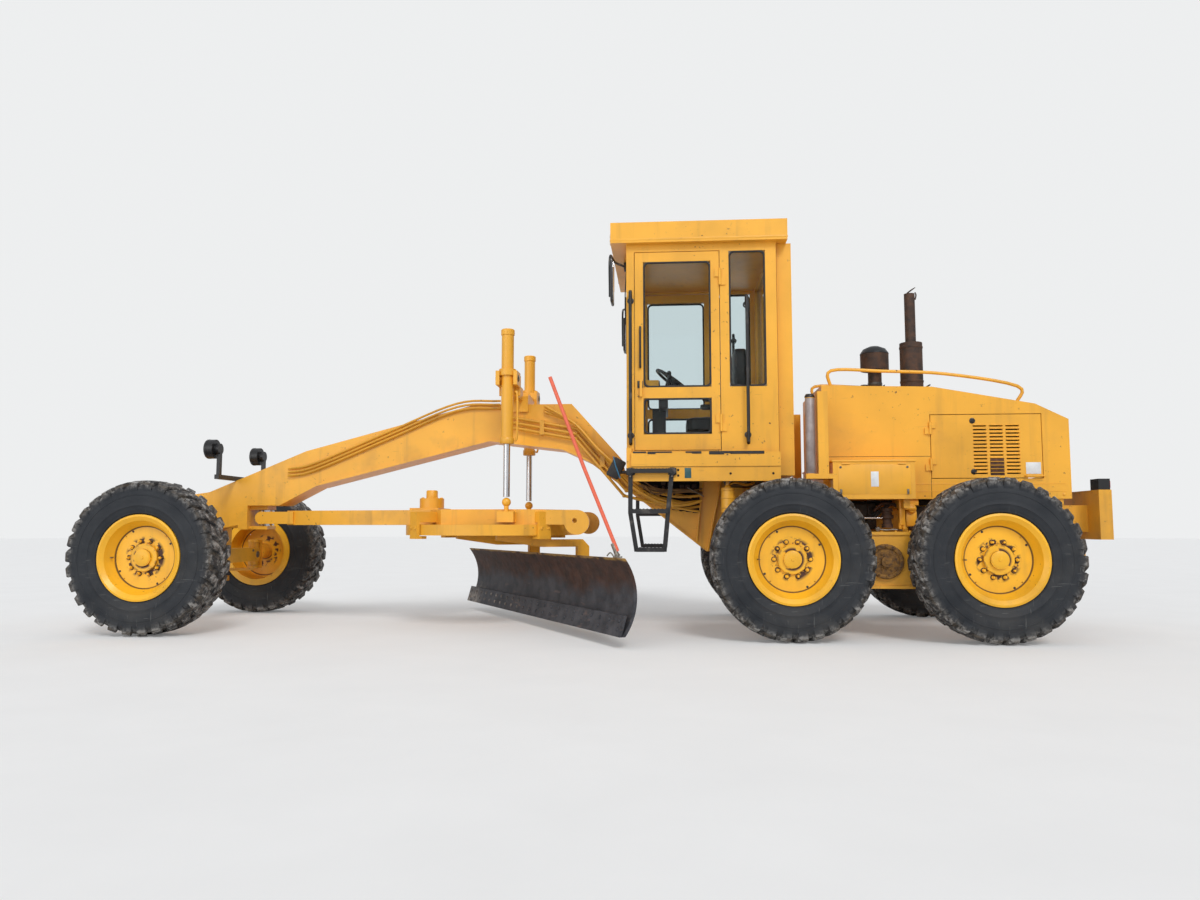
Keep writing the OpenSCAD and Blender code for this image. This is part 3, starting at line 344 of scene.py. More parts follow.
def smooth_path(points, closed, steps):
    """A rounded line through the points."""
    count = len(points)
    out = []
    for i in range(count if closed else count - 1):
        if closed:
            a, b, c, d = (points[(i + k - 1) % count] for k in range(4))
        else:
            b, c = points[i], points[i + 1]
            a = points[i - 1] if i else b * 2 - c
            d = points[i + 2] if i + 2 < count else c * 2 - b
        for k in range(steps):
            t = k / steps
            bow = (2 * a - 5 * b + 4 * c - d) * t * t + (3 * b - a - 3 * c + d) * t ** 3
            out.append(0.5 * (2 * b + (c - a) * t + bow))
    if not closed:
        out.append(points[-1])
    return out


def around(count, radius, start=0.0, axis=ACROSS):
    """Steps from an axle to a ring of places about it."""
    second = UP if axis is ACROSS else ACROSS
    turns = (start + 2 * math.pi * i / count for i in range(count))
    return [radius * (ALONG * math.cos(a) + second * math.sin(a)) for a in turns]


def tilted(degrees, axis="Y"):
    return Matrix.Rotation(math.radians(degrees), 3, axis)


class Piece:
    """A mesh made in a with block, in stations, that then rides on a body.

    With a side, its name gets the side's name and its points are given as for the left side.
    """

    def __init__(self, name, finish, body, slot, side=None, angle=38, stands_for=(), origin=(0, 0, 0)):
        self.name = f"{name}_{side.name}" if side else name
        self.sign = side.sign if side else 1
        self.finish, self.body, self.slot = finishes[finish], body, slot
        self.angle, self.stands_for, self.origin = angle, stands_for, origin
        self.bm = bmesh.new()

    def __enter__(self):
        return self

    def __exit__(self, failure, *_):
        if failure:
            return
        bmesh.ops.recalc_face_normals(self.bm, faces=self.bm.faces)
        mesh = bpy.data.meshes.new(self.name)
        self.bm.to_mesh(mesh)
        self.bm.free()
        mesh.polygons.foreach_set("use_smooth", [True] * len(mesh.polygons))
        mesh.set_sharp_from_angle(angle=math.radians(self.angle))
        mesh.materials.append(self.finish)
        self.made = bpy.data.objects.new(self.name, mesh)
        bpy.context.scene.collection.objects.link(self.made)
        self.made.location = self.spot(self.origin) - MID_X * ALONG
        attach(self.made, self.body)
        if self.stands_for:
            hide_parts(*self.stands_for)

    def mirrored(self):
        """Puts the points on the left and then on the right, and yields 1 and -1."""
        for self.sign in (1, -1):
            yield self.sign
        self.sign = 1

    def spot(self, point):
        """A point or direction given as for the left side, on the piece's side."""
        x, y, z = point
        return Vector((x, y * self.sign, z))

    def slab(self, low, high, edge=0.002, turn=None):
        low, high = Vector(low), Vector(high)
        middle, size = self.spot((low + high) / 2), high - low
        made = bmesh.ops.create_cube(self.bm, size=1.0)["verts"]
        for v in made:
            v.co = Vector([v.co[i] * abs(size[i]) for i in range(3)])
            v.co = (turn @ v.co if turn else v.co) + middle
        edges = list({e for v in made for e in v.link_edges})
        bmesh.ops.bevel(
            self.bm, geom=edges, offset=edge, offset_type="OFFSET", segments=2, profile=0.5, affect="EDGES"
        )

    def circle(self, middle, radius, side, up, steps):
        turns = (2 * math.pi * i / steps for i in range(steps))
        return [self.bm.verts.new(middle + radius * (side * math.cos(a) + up * math.sin(a))) for a in turns]

    def skin(self, rings, closed, steps):
        """Joins rings of points with faces; a ring of one point is a tip."""
        for low, high in list(zip(rings, rings[1:])) + ([(rings[-1], rings[0])] if closed else []):
            for i in range(steps):
                k = (i + 1) % steps
                corners = (low[i % len(low)], low[k % len(low)], high[k % len(high)], high[i % len(high)])
                corners = list(dict.fromkeys(corners))
                if len(corners) > 2:
                    self.bm.faces.new(corners)

    def lathe(self, profile, centre, axis=ACROSS, steps=40, closed=False):
        """Turns (radius, height) pairs about an axis through the centre."""
        centre, axis = self.spot(centre), self.spot(axis).normalized()
        side = axis.orthogonal().normalized()
        up = axis.cross(side)
        rings = []
        for radius, height in profile:
            middle = centre + axis * height
            tip = radius < 1e-6
            rings.append([self.bm.verts.new(middle)] if tip else self.circle(middle, radius, side, up, steps))
        self.skin(rings, closed, steps)

    def tube(self, points, radius, sides=10, closed=False, steps=6, bend=True):
        """A round bar along the points, rounded between them where it bends."""
        path = [self.spot(p) for p in points]
        path = smooth_path(path, closed, steps) if bend else path
        count = len(path)
        side = (path[1] - path[0]).normalized().orthogonal().normalized()
        rings = []
        for i, point in enumerate(path):
            ahead = path[(i + 1) % count] if closed or i + 1 < count else point
            behind = path[i - 1] if closed or i else point
            run = (ahead - behind).normalized()
            side = (side - run * side.dot(run)).normalized()
            rings.append(self.circle(point, radius, side, run.cross(side), sides))
        self.skin(rings, closed, sides)
        if not closed:
            self.bm.faces.new(rings[0])
            self.bm.faces.new(rings[-1])

    def nut(self, centre, axis, radius=0.012, height=0.011, washer=True):
        """A six-sided head with chamfered corners, on a washer."""
        self.lathe([(0, 0), (radius, 0), (radius, height * 0.8), (radius * 0.85, height), (0, height)],
                   centre, axis, 6)
        if washer:
            rim = radius * 1.35
            self.lathe([(0, 0), (rim, 0), (rim, 0.002), (radius * 1.2, 0.003), (0, 0.003)], centre, axis, 16)

    def bead(self, low, high, radius=0.009, corner=0.045, steps=4):
        """A rubber bead round a flat pane with rounded corners."""
        low, high = Vector(low), Vector(high)
        pairs = ((low, low), (high, low), (high, high), (low, high))
        corners = [Vector((foot.x, foot.y, head.z)) for foot, head in pairs]
        path = []
        for i, point in enumerate(corners):
            before, after = corners[i - 1], corners[(i + 1) % len(corners)]
            a, b = (point + (other - point).normalized() * corner for other in (before, after))
            for t in (k / steps for k in range(steps + 1)):
                path.append(a.lerp(point, t).lerp(point.lerp(b, t), t))
        self.tube(path, radius, 8, closed=True, bend=False)


finishes = {}


# Settings

class WheelSettings(bpy.types.PropertyGroup):
    """Sizes of the tyres' tread and of the wheels' trim."""
    lugs: IntProperty(name="Lugs", description="Tread lugs on each side of a tyre", default=30, min=20, max=40)
    lug_depth: FloatProperty(name="Lug depth", description="Height of the lugs' tips over the tyre's band",
                             default=0.028, unit="LENGTH")
    lug_share: FloatProperty(name="Lug share", description="Share of the tread's length that is rubber",
                             default=0.62, min=0.4, max=0.8, subtype="FACTOR")
    wear: FloatProperty(name="Wear", description="How far the lugs' corners are worn about", default=0.0022,
                        unit="LENGTH")
    nut_circle: FloatProperty(name="Nut circle", description="Radius of the wheel nuts' circle", default=0.137,
                              unit="LENGTH")


def paint(name, description, colour):
    return FloatVectorProperty(
        name=name, description=description, default=colour, size=3, subtype="COLOR", min=0, max=1
    )


class PaintSettings(bpy.types.PropertyGroup):
    """Colours of the machine's finishes."""
    body: paint("Body", "Yellow of the frames, the hood and the cab", (0.85, 0.410, 0.030))
    rim: paint("Rims", "Brighter yellow of the rims", (0.90, 0.460, 0.016))
    grime: paint("Grime", "Dust and run marks on the paint", (0.215, 0.120, 0.048))
    rust: paint("Rust", "Rust under the paint's chips", (0.120, 0.045, 0.022))
    pole: paint("Marker pole", "Coral of the blade's marker pole", (0.86, 0.150, 0.075))


class StageSettings(bpy.types.PropertyGroup):
    """Camera and light."""
    eye: FloatVectorProperty(name="Eye", description="Where the camera stands", default=(-0.688, 8.009, 0.864),
                             size=3, subtype="TRANSLATION", unit="LENGTH")
    heading: FloatProperty(name="Heading", description="Direction of view about the vertical",
                           default=math.radians(-85.5), subtype="ANGLE")
    tilt: FloatProperty(name="Tilt", description="Upward angle of the view", default=math.radians(5.0),
                        subtype="ANGLE")
    view_angle: FloatProperty(name="View angle", description="Width of the view", default=math.radians(68.0),
                              subtype="ANGLE")
    sun: FloatProperty(name="Sun", description="Strength of the soft key light", default=1.35, min=0)
    sky: FloatProperty(name="Sky", description="Strength of the even light", default=0.64, min=0)


# Pieces

class Workshop:
    """What every piece's operator shares."""
    bl_options = {"REGISTER", "UNDO"}

    def execute(self, context):
        self.make(context.scene)
        return {"FINISHED"}


class GRADER_OT_stage(Workshop, bpy.types.Operator):
    """Pale floor, soft light and the camera"""
    bl_idname = "grader.stage"
    bl_label = "Stage"

    FLOOR_RADIUS = 80
    # Strength of the low side light, as a share of the key light's
    FILL_SHARE = 0.75

    def make(self, scene):
        settings = scene.grader_stage
        scene.view_settings.view_transform = "Standard"
        self.camera(scene, settings)
        self.lamp(scene, "key", (0.32, -0.90, -0.80), settings.sun, 18)
        self.lamp(scene, "fill", (-0.65, -1.0, -0.05), settings.sun * self.FILL_SHARE, 50)
        self.sky(scene, settings.sky)
        self.floor(scene)

    def camera(self, scene, settings):
        camera = bpy.data.objects.new("camera", bpy.data.cameras.new("camera"))
        scene.collection.objects.link(camera)
        camera.data.angle = settings.view_angle
        camera.data.clip_end = 300
        camera.location = settings.eye
        heading, level = settings.heading, math.cos(settings.tilt)
        ahead = Vector((math.cos(heading) * level, math.sin(heading) * level, math.sin(settings.tilt)))
        camera.rotation_euler = ahead.to_track_quat("-Z", "Y").to_euler()
        scene.camera = camera

    def lamp(self, scene, name, direction, strength, spread):
        lamp = bpy.data.objects.new(name, bpy.data.lights.new(name, "SUN"))
        lamp.data.energy, lamp.data.angle = strength, math.radians(spread)
        lamp.rotation_euler = Vector(direction).to_track_quat("-Z", "Y").to_euler()
        scene.collection.objects.link(lamp)

    def sky(self, scene, strength):
        """Even light that the camera sees as a pale backdrop, also through glass."""
        world = bpy.data.worlds.new("sky")
        world.use_nodes = True
        scene.world = world
        graph = Graph(world.node_tree)
        graph.tree.nodes.remove(graph.tree.nodes["Background"])
        light = graph.node("ShaderNodeBackground", values=((0.95, 0.97, 1.0, 1), strength))
        pale = graph.node("ShaderNodeBackground", values=((0.85, 0.86, 0.865, 1),))
        rays = graph.node("ShaderNodeLightPath").socket.node.outputs
        seen = Channel(graph, rays["Is Camera Ray"]).most(Channel(graph, rays["Is Transmission Ray"]))
        shown = graph.node("ShaderNodeMixShader", values=(seen, light, pale))
        graph.tree.links.new(shown.socket, graph.tree.nodes["World Output"].inputs["Surface"])

    def floor(self, scene):
        finish = Finish("pale_floor", Roughness=0.9, Specular_IOR_Level=0.1, Emission_Strength=1.0)
        finish.feed("Base Color", finish.mix(finish.noise(1.5, 4), (0.70, 0.70, 0.695), (0.76, 0.76, 0.755)))
        seen = finish.node("ShaderNodeLightPath", out="Is Camera Ray")
        finish.feed("Emission Color", finish.mix(seen, (0, 0, 0), (0.13, 0.13, 0.13)))
        bm = bmesh.new()
        bmesh.ops.create_circle(bm, cap_ends=True, radius=self.FLOOR_RADIUS, segments=96)
        mesh = bpy.data.meshes.new("floor")
        bm.to_mesh(mesh)
        bm.free()
        mesh.materials.append(finish.material)
        floor = bpy.data.objects.new("floor", mesh)
        scene.collection.objects.link(floor)


class GRADER_OT_finishes(Workshop, bpy.types.Operator):
    """The machine's materials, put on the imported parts"""
    bl_idname = "grader.finishes"
    bl_label = "Finishes"

    BY_SLOT = {
        "yellow_paint": "body", "rim_paint": "rim", "black_paint": "black", "tyre_rubber": "tyre",
        "engine_grey": "iron", "clear_glass": "glass", "seat_vinyl": "vinyl", "bright_steel": "steel",
        "blade_steel": "blade",
    }
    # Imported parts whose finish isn't their slot's
    WORN = (
        "front_frame", "rear_frame", "drawbar", "circle_ring", "blade_carrier", "tandem_left", "tandem_right",
        "tie_rod", "front_axle", "rear_axle", "lift_saddle", "swivel_bracket", "steer_fork_left",
        "steer_fork_right", "lean_knuckle_left", "lean_knuckle_right", "air_canister",
    )
    OWN = {"service_lines": "pipe", "exhaust": "stack", "console": "dash", "drawbar_swivel": "steel"}

    def make(self, scene):
        colours = scene.grader_paint
        mirror = Finish("mirror_face", Metallic=1.0, Roughness=0.03, Base_Color=(0.85, 0.86, 0.87, 1))
        finishes.update({
            "body": painted("body_paint", colours.body, colours, 0.45, 0.6),
            "frame": painted("frame_paint", colours.body, colours, 0.8, 0.9),
            "pipe": painted("pipe_paint", shade(colours.body, 0.82), colours, 1.0, 0.6),
            "rim": painted("rim_paint", colours.rim, colours, 0.35, 0.3, MID_X),
            "hub": painted("hub_paint", colours.rim, colours, 0.35, 0.3, 0.0),
            "nuts": painted("nut_paint", shade(colours.rim, 1.1), colours, 0.2, 0.8),
            "cap": mottled("flaking_cap", (0.040, 0.020, 0.013), (0.36, 0.17, 0.025), 30, 0.7, 0.0, 0.003),
            "black": dark_paint("black_paint", (0.012, 0.012, 0.013)),
            "dash": dark_paint("console_plastic", (0.030, 0.030, 0.031), (0.085, 0.08, 0.075)),
            "tyre": tyre_rubber("tyre_rubber"),
            "rubber": mottled("black_rubber", (0.010, 0.010, 0.011), (0.040, 0.038, 0.036), 22, 0.65),
            "blade": blade_iron("blade_iron"),
            # Oily iron of the engine and castings; on the driveline's housing its near-black is also painted
            # shade
            "iron": mottled("oily_iron", (0.020, 0.017, 0.015), (0.085, 0.060, 0.042), 9, 0.55, 0.3),
            "rust": mottled("rusted_cap", (0.035, 0.018, 0.013), (0.170, 0.070, 0.032), 26, 0.75, 0.1, 0.003),
            "stack": mottled("heat_stained_steel", (0.030, 0.025, 0.023), (0.125, 0.062, 0.036), 12, 0.7, 0.3),
            "steel": polished_rod("polished_rod"),
            "zinc": mottled("worn_bolts", (0.10, 0.085, 0.07), (0.30, 0.27, 0.23), 40, 0.45, 0.7),
            "tube": mottled("grey_tube", (0.24, 0.19, 0.18), (0.42, 0.36, 0.34), 10, 0.45, 0.2),
            "glass": window_glass("cab_glass"),
            "vinyl": vinyl("seat_vinyl"),
            "lamp": lens("lamp_lens", (0.72, 0.74, 0.76)),
            "red_lamp": lens("tail_lens", (0.42, 0.008, 0.006)),
            "white": mottled("blank_label", (0.62, 0.63, 0.64), (0.78, 0.79, 0.79), 18, 0.4),
            "teal": mottled("teal_label", (0.010, 0.060, 0.068), (0.030, 0.110, 0.115), 16, 0.4),
            "pole": mottled("coral_pole", shade(colours.pole, 0.85), colours.pole, 20, 0.4),
            "strap": mottled("blue_strap", (0.03, 0.15, 0.30), (0.06, 0.24, 0.42), 30, 0.6),
            "mirror": mirror.material,
            "line": mottled("brown_lines", (0.075, 0.040, 0.016), (0.30, 0.15, 0.035), 9, 0.6),
            # Near black: the hood seams and platform bolts, and painted shade for the plate on the neck and the
            # line under the sill strip
            "dark": mottled("dark_gap", (0.006, 0.005, 0.005), (0.020, 0.015, 0.012), 12, 0.9),
        })
        own = {**dict.fromkeys(self.WORN, "frame"), **self.OWN}
        for row in frame["record"]["subparts"]:
            mesh = frame["nodes"][row["node"]].data
            mesh.materials.clear()
            mesh.materials.append(finishes[own.get(row["node"], self.BY_SLOT[row["material_slot"]])])


class GRADER_OT_tyres(Workshop, bpy.types.Operator):
    """Six tyres with worn bar lugs"""
    bl_idname = "grader.tyres"
    bl_label = "Tyres"

    # Radius and half width of the casing, from the bead to the middle of the band
    CASING = [
        (0.3060, 0.1372), (0.3300, 0.1385), (0.3462, 0.1388), (0.3520, 0.1520), (0.3600, 0.1600),
        (0.3660, 0.1590), (0.3720, 0.1625), (0.3950, 0.1690), (0.4150, 0.1722), (0.4170, 0.1742),
        (0.4210, 0.1742), (0.4230, 0.1728), (0.4500, 0.1742), (0.4800, 0.1735), (0.4980, 0.1715),
        (0.5000, 0.1738), (0.5060, 0.1736), (0.5080, 0.1702), (0.5300, 0.1665), (0.5520, 0.1610),
        (0.5710, 0.1530), (0.5870, 0.1390), (0.5970, 0.1150), (0.6010, 0.0700), (0.6028, 0.0),
    ]
    # Down a lug: radius and half width at its root and at its tip, turn in lug pitches, share of its width
    LUG = [
        (0.5300, 0.1655, 0.5340, 0.1700, 0.00, 0.92), (0.5520, 0.1600, 0.5640, 0.1722, 0.00, 0.92),
        (0.5710, 0.1520, 0.5930, 0.1690, 0.02, 1.0), (0.5870, 0.1380, 0.6130, 0.1560, 0.06, 1.0),
        (0.5960, 0.1150, 0.6215, 0.1230, 0.18, 1.0), (0.6000, 0.0700, 0.6240, 0.0720, 0.42, 1.0),
        (0.6010, 0.0250, 0.6245, 0.0260, 0.66, 1.0), (0.6010, -0.0080, 0.6225, -0.0060, 0.82, 0.8),
    ]
    # Across a lug: share of its half width, and of the rise from its root to its tip
    SECTION = ((-1.06, 0.0), (-1.0, 0.72), (-0.86, 1.0), (0.86, 1.0), (1.0, 0.72), (1.06, 0.0))
    SHOULDER = 4

    def make(self, scene):
        settings = scene.grader_wheels
        profile = self.CASING + [(r, -y) for r, y in reversed(self.CASING[:-1])]
        for station, x in WHEELS.items():
            for side in SIDES:
                wheel = f"{station}_{side.name}"
                hub = (x, WHEEL_Y, WHEEL_Z)
                with Piece(f"lugged_tyre_{station}", "tyre", f"wheel_{wheel}", "tyre_rubber", side, 42,
                           (f"tyre_{wheel}",), hub) as tyre:
                    tyre.lathe(profile, (0, 0, 0), ACROSS * side.sign, 120)
                    self.tread(tyre, settings, side.sign, random.Random(len(station) * 7 + side.sign))

    def tread(self, tyre, settings, sign, chance):
        pitch = 2 * math.pi / settings.lugs
        band = self.LUG[-2][2] - settings.lug_depth
        for face in (1, -1):
            for i in range(settings.lugs):
                start = (i + (0.5 if face < 0 else 0.0)) * pitch
                rows = []
                for k in range(len(self.LUG)):
                    rows.append(self.row(tyre, settings, k, start, pitch, sign, face, band, chance))
                for a, b in zip(rows, rows[1:]):
                    for k in range(len(self.SECTION) - 1):
                        tyre.bm.faces.new([a[k], a[k + 1], b[k + 1], b[k]])
                tyre.bm.faces.new(rows[0])
                tyre.bm.faces.new(list(reversed(rows[-1])))

    def row(self, tyre, settings, k, start, pitch, sign, face, band, chance):
        """One section across a lug, its corners worn about at random."""
        r0, y0, r1, y1, turn, width = self.LUG[k]
        middle = start + sign * turn * pitch * 0.9
        half = settings.lug_share * pitch / 2 * width
        r1 = max(r1, band)
        points = []
        for share, rise in self.SECTION:
            r, y = r0 + (r1 - r0) * rise, (y0 + (y1 - y0) * rise) * face
            if rise:
                r -= chance.uniform(0, settings.wear) * (1.6 if k < self.SHOULDER else 1.0)
            angle = middle + share * half + chance.uniform(-1, 1) * settings.wear * 1.2
            points.append(tyre.bm.verts.new((r * math.cos(angle), y, r * math.sin(angle))))
        return points


class GRADER_OT_wheel_trim(Workshop, bpy.types.Operator):
    """Washers, nuts, hub caps and valves of the wheels, and dark discs as painted shade in the rim's holes"""
    bl_idname = "grader.wheel_trim"
    bl_label = "Wheel trim"

    NUTS, SPOTS = 10, 4

    def make(self, scene):
        for station, x in WHEELS.items():
            for side in SIDES:
                body = f"wheel_{station}_{side.name}"
                disc = Vector((x, WHEEL_Y + 0.055, WHEEL_Z))
                nuts = [disc + step for step in around(self.NUTS, scene.grader_wheels.nut_circle)]
                with Piece(f"wheel_washers_{station}", "iron", body, "rim_paint", side) as washers:
                    for spot in nuts:
                        washers.lathe([(0.0151, 0), (0.0205, 0), (0.0205, 0.003), (0.0151, 0.006)],
                                      spot, ACROSS, 20, closed=True)
                    # Four dark discs in the rim's holes: painted shade of the holes
                    for step in around(self.SPOTS, 0.236, math.radians(62)):
                        washers.lathe([(0, 0.0008), (0.0085, 0.0008), (0.0095, 0.0003), (0.0095, -0.001)],
                                      disc + step, ACROSS, 16)
                with Piece(f"wheel_nuts_{station}", "nuts", body, "rim_paint", side) as studs:
                    for spot in nuts:
                        studs.lathe([(0, 0.0205), (0.0085, 0.0205), (0.0085, 0.030), (0.006, 0.034),
                                     (0, 0.034)], spot, ACROSS, 14)
                with Piece(f"hub_cap_{station}", "hub", body, "rim_paint", side) as cap:
                    cap.lathe([(0, 0.0455), (0.058, 0.0455), (0.062, 0.0475), (0.058, 0.0495), (0.014, 0.050),
                               (0.012, 0.055), (0, 0.056)], disc, ACROSS, 48)
                    cap.lathe([(0.0685, 0.0205), (0.109, 0.0205), (0.1125, 0.0235), (0.109, 0.0265),
                               (0.0685, 0.0265)], disc, ACROSS, 72, closed=True)
                with Piece(f"valve_{station}", "zinc", body, "rim_paint", side) as valve:
                    base = Vector((x + 0.262, WHEEL_Y + 0.070, WHEEL_Z))
                    valve.tube([base, base + ACROSS * 0.03, base + ACROSS * 0.05 - ALONG * 0.012], 0.005, 8)


class GRADER_OT_tandem_trim(Workshop, bpy.types.Operator):
    """Rusted pivot caps, case covers and their bolts"""
    bl_idname = "grader.tandem_trim"
    bl_label = "Tandem trim"

    def make(self, scene):
        for side in SIDES:
            with Piece("pivot_cap", "cap", "rear", "yellow_paint", side) as cap:
                middle = Vector((0, 0.830, 0.600))
                cap.lathe([(0, 0.0275), (0.0425, 0.0275), (0.0425, 0.001), (0.100, 0.0005), (0.104, 0.010),
                           (0.112, 0.0135), (0.130, 0.013), (0.136, 0.008), (0.1365, -0.028), (0.137, -0.030)],
                          middle, ACROSS, 64)
                for step in around(12, 0.120):
                    cap.nut(middle + ACROSS * 0.012 + step, ACROSS, 0.0095, 0.011)
                for step in around(6, 0.068):
                    cap.nut(middle + ACROSS * 0.0005 + step, ACROSS, 0.008, 0.009)
                cap.lathe([(0, 0.0275), (0.020, 0.0275), (0.020, 0.034), (0, 0.036)], middle, ACROSS, 6)
            with Piece("case_covers", "frame", "rear", "yellow_paint", side) as covers:
                face = 0.800
                for x in (-0.36, 0.36):
                    covers.slab((x - 0.12, face, 0.50), (x + 0.12, face + 0.006, 0.70), 0.003)
                    for dx in (-0.10, 0.0, 0.10):
                        for z in (0.52, 0.68):
                            covers.nut((x + dx, face + 0.006, z), ACROSS, 0.008, 0.007)
                for i in range(-6, 7):
                    covers.nut((i * 0.11, 0.700, 0.833), UP, 0.009, 0.009)


class GRADER_OT_driveline(Workshop, bpy.types.Operator):
    """Dark castings, their near-black partly painted shade of the gap between the rear wheels, and the brake
    parts, rods and hoses that show there
    """
    bl_idname = "grader.driveline"
    bl_label = "Driveline"

    # Radius of the brake stack at each height over its foot
    STACK = [
        (0, 0), (0.044, 0.000), (0.044, 0.030), (0.036, 0.034), (0.036, 0.072), (0.050, 0.076), (0.050, 0.100),
        (0.038, 0.104), (0.038, 0.130), (0.046, 0.134), (0.044, 0.158), (0, 0.158),
    ]

    def make(self, scene):
        for side in SIDES:
            self.castings(side)
            self.fittings(side)

    def castings(self, side):
        # A housing block over the yellow frame rail: its near-black iron is also painted shade for the dark gap
        # between the wheels
        with Piece("oily_housing", "iron", "rear", "engine_grey", side) as housing:
            housing.slab((-0.02, 0.356, 0.850), (0.72, 0.455, 1.070), 0.020)
            for i in range(7):
                x = 0.04 + 0.10 * i
                housing.slab((x, 0.450, 0.865), (x + 0.014, 0.472, 1.050), 0.003)
                housing.nut((x + 0.055, 0.455, 1.045), ACROSS, 0.009, 0.008)
            housing.lathe([(0, 0.055), (0.060, 0.050), (0.078, 0.035), (0.078, 0), (0, 0)],
                          (0.42, 0.455, 0.960), ACROSS, 32)
            housing.slab((-0.50, 0.353, 0.845), (-0.30, 0.375, 1.045), 0.012)
        with Piece("brake_stack", "stack", "rear", "engine_grey", side) as stack:
            stack.lathe(self.STACK, (-0.075, 0.575, 0.865), UP, 30)
            stack.tube([(0.02, 0.52, 1.00), (-0.06, 0.50, 1.06), (-0.16, 0.50, 1.05), (-0.24, 0.46, 0.97)],
                       0.013)

    def fittings(self, side):
        with Piece("brake_rod", "steel", "rear", "bright_steel", side) as rod:
            rod.tube([(0.135, 0.590, 0.945), (-0.030, 0.590, 0.943)], 0.0085, 12, bend=False)
        with Piece("grease_line", "zinc", "rear", "bright_steel", side) as line:
            line.lathe([(0, 0.018), (0.016, 0.016), (0.020, 0.008), (0.020, -0.02), (0, -0.02)],
                       (0.011, 0.610, 0.853), ACROSS, 20)
            line.tube([(0.0, 0.600, 0.853), (-0.06, 0.600, 0.846), (-0.12, 0.605, 0.850),
                       (-0.19, 0.600, 0.842)], 0.0065, 8)
        with Piece("brake_bracket", "frame", "rear", "yellow_paint", side) as bracket:
            bracket.slab((-0.205, 0.600, 0.885), (-0.160, 0.640, 1.092), 0.006)
            for x in (-0.197, -0.166):
                bracket.lathe([(0, -0.022), (0.012, -0.020), (0.014, -0.010), (0.014, 0.030), (0, 0.030)],
                              (x, 0.620, 0.876), UP, 16)
            bracket.slab((-0.320, 0.500, 0.875), (-0.230, 0.560, 1.005), 0.014)
            bracket.lathe([(0, 0.03), (0.030, 0.026), (0.038, 0.012), (0.038, -0.12), (0, -0.12)],
                          (-0.275, 0.560, 1.020), ACROSS, 26)
            bracket.slab((-0.300, 0.480, 1.010), (-0.205, 0.600, 1.035), 0.005)
        with Piece("brake_hoses", "rubber", "rear", "engine_grey", side) as hoses:
            for y, drop in ((0.49, 0.09), (0.52, 0.13)):
                hoses.tube([(0.50, y, 1.05), (0.30, y, 1.05 - drop), (0.10, y + 0.01, 1.03 - drop),
                            (-0.12, y - 0.03, 1.055)], 0.011, 8)


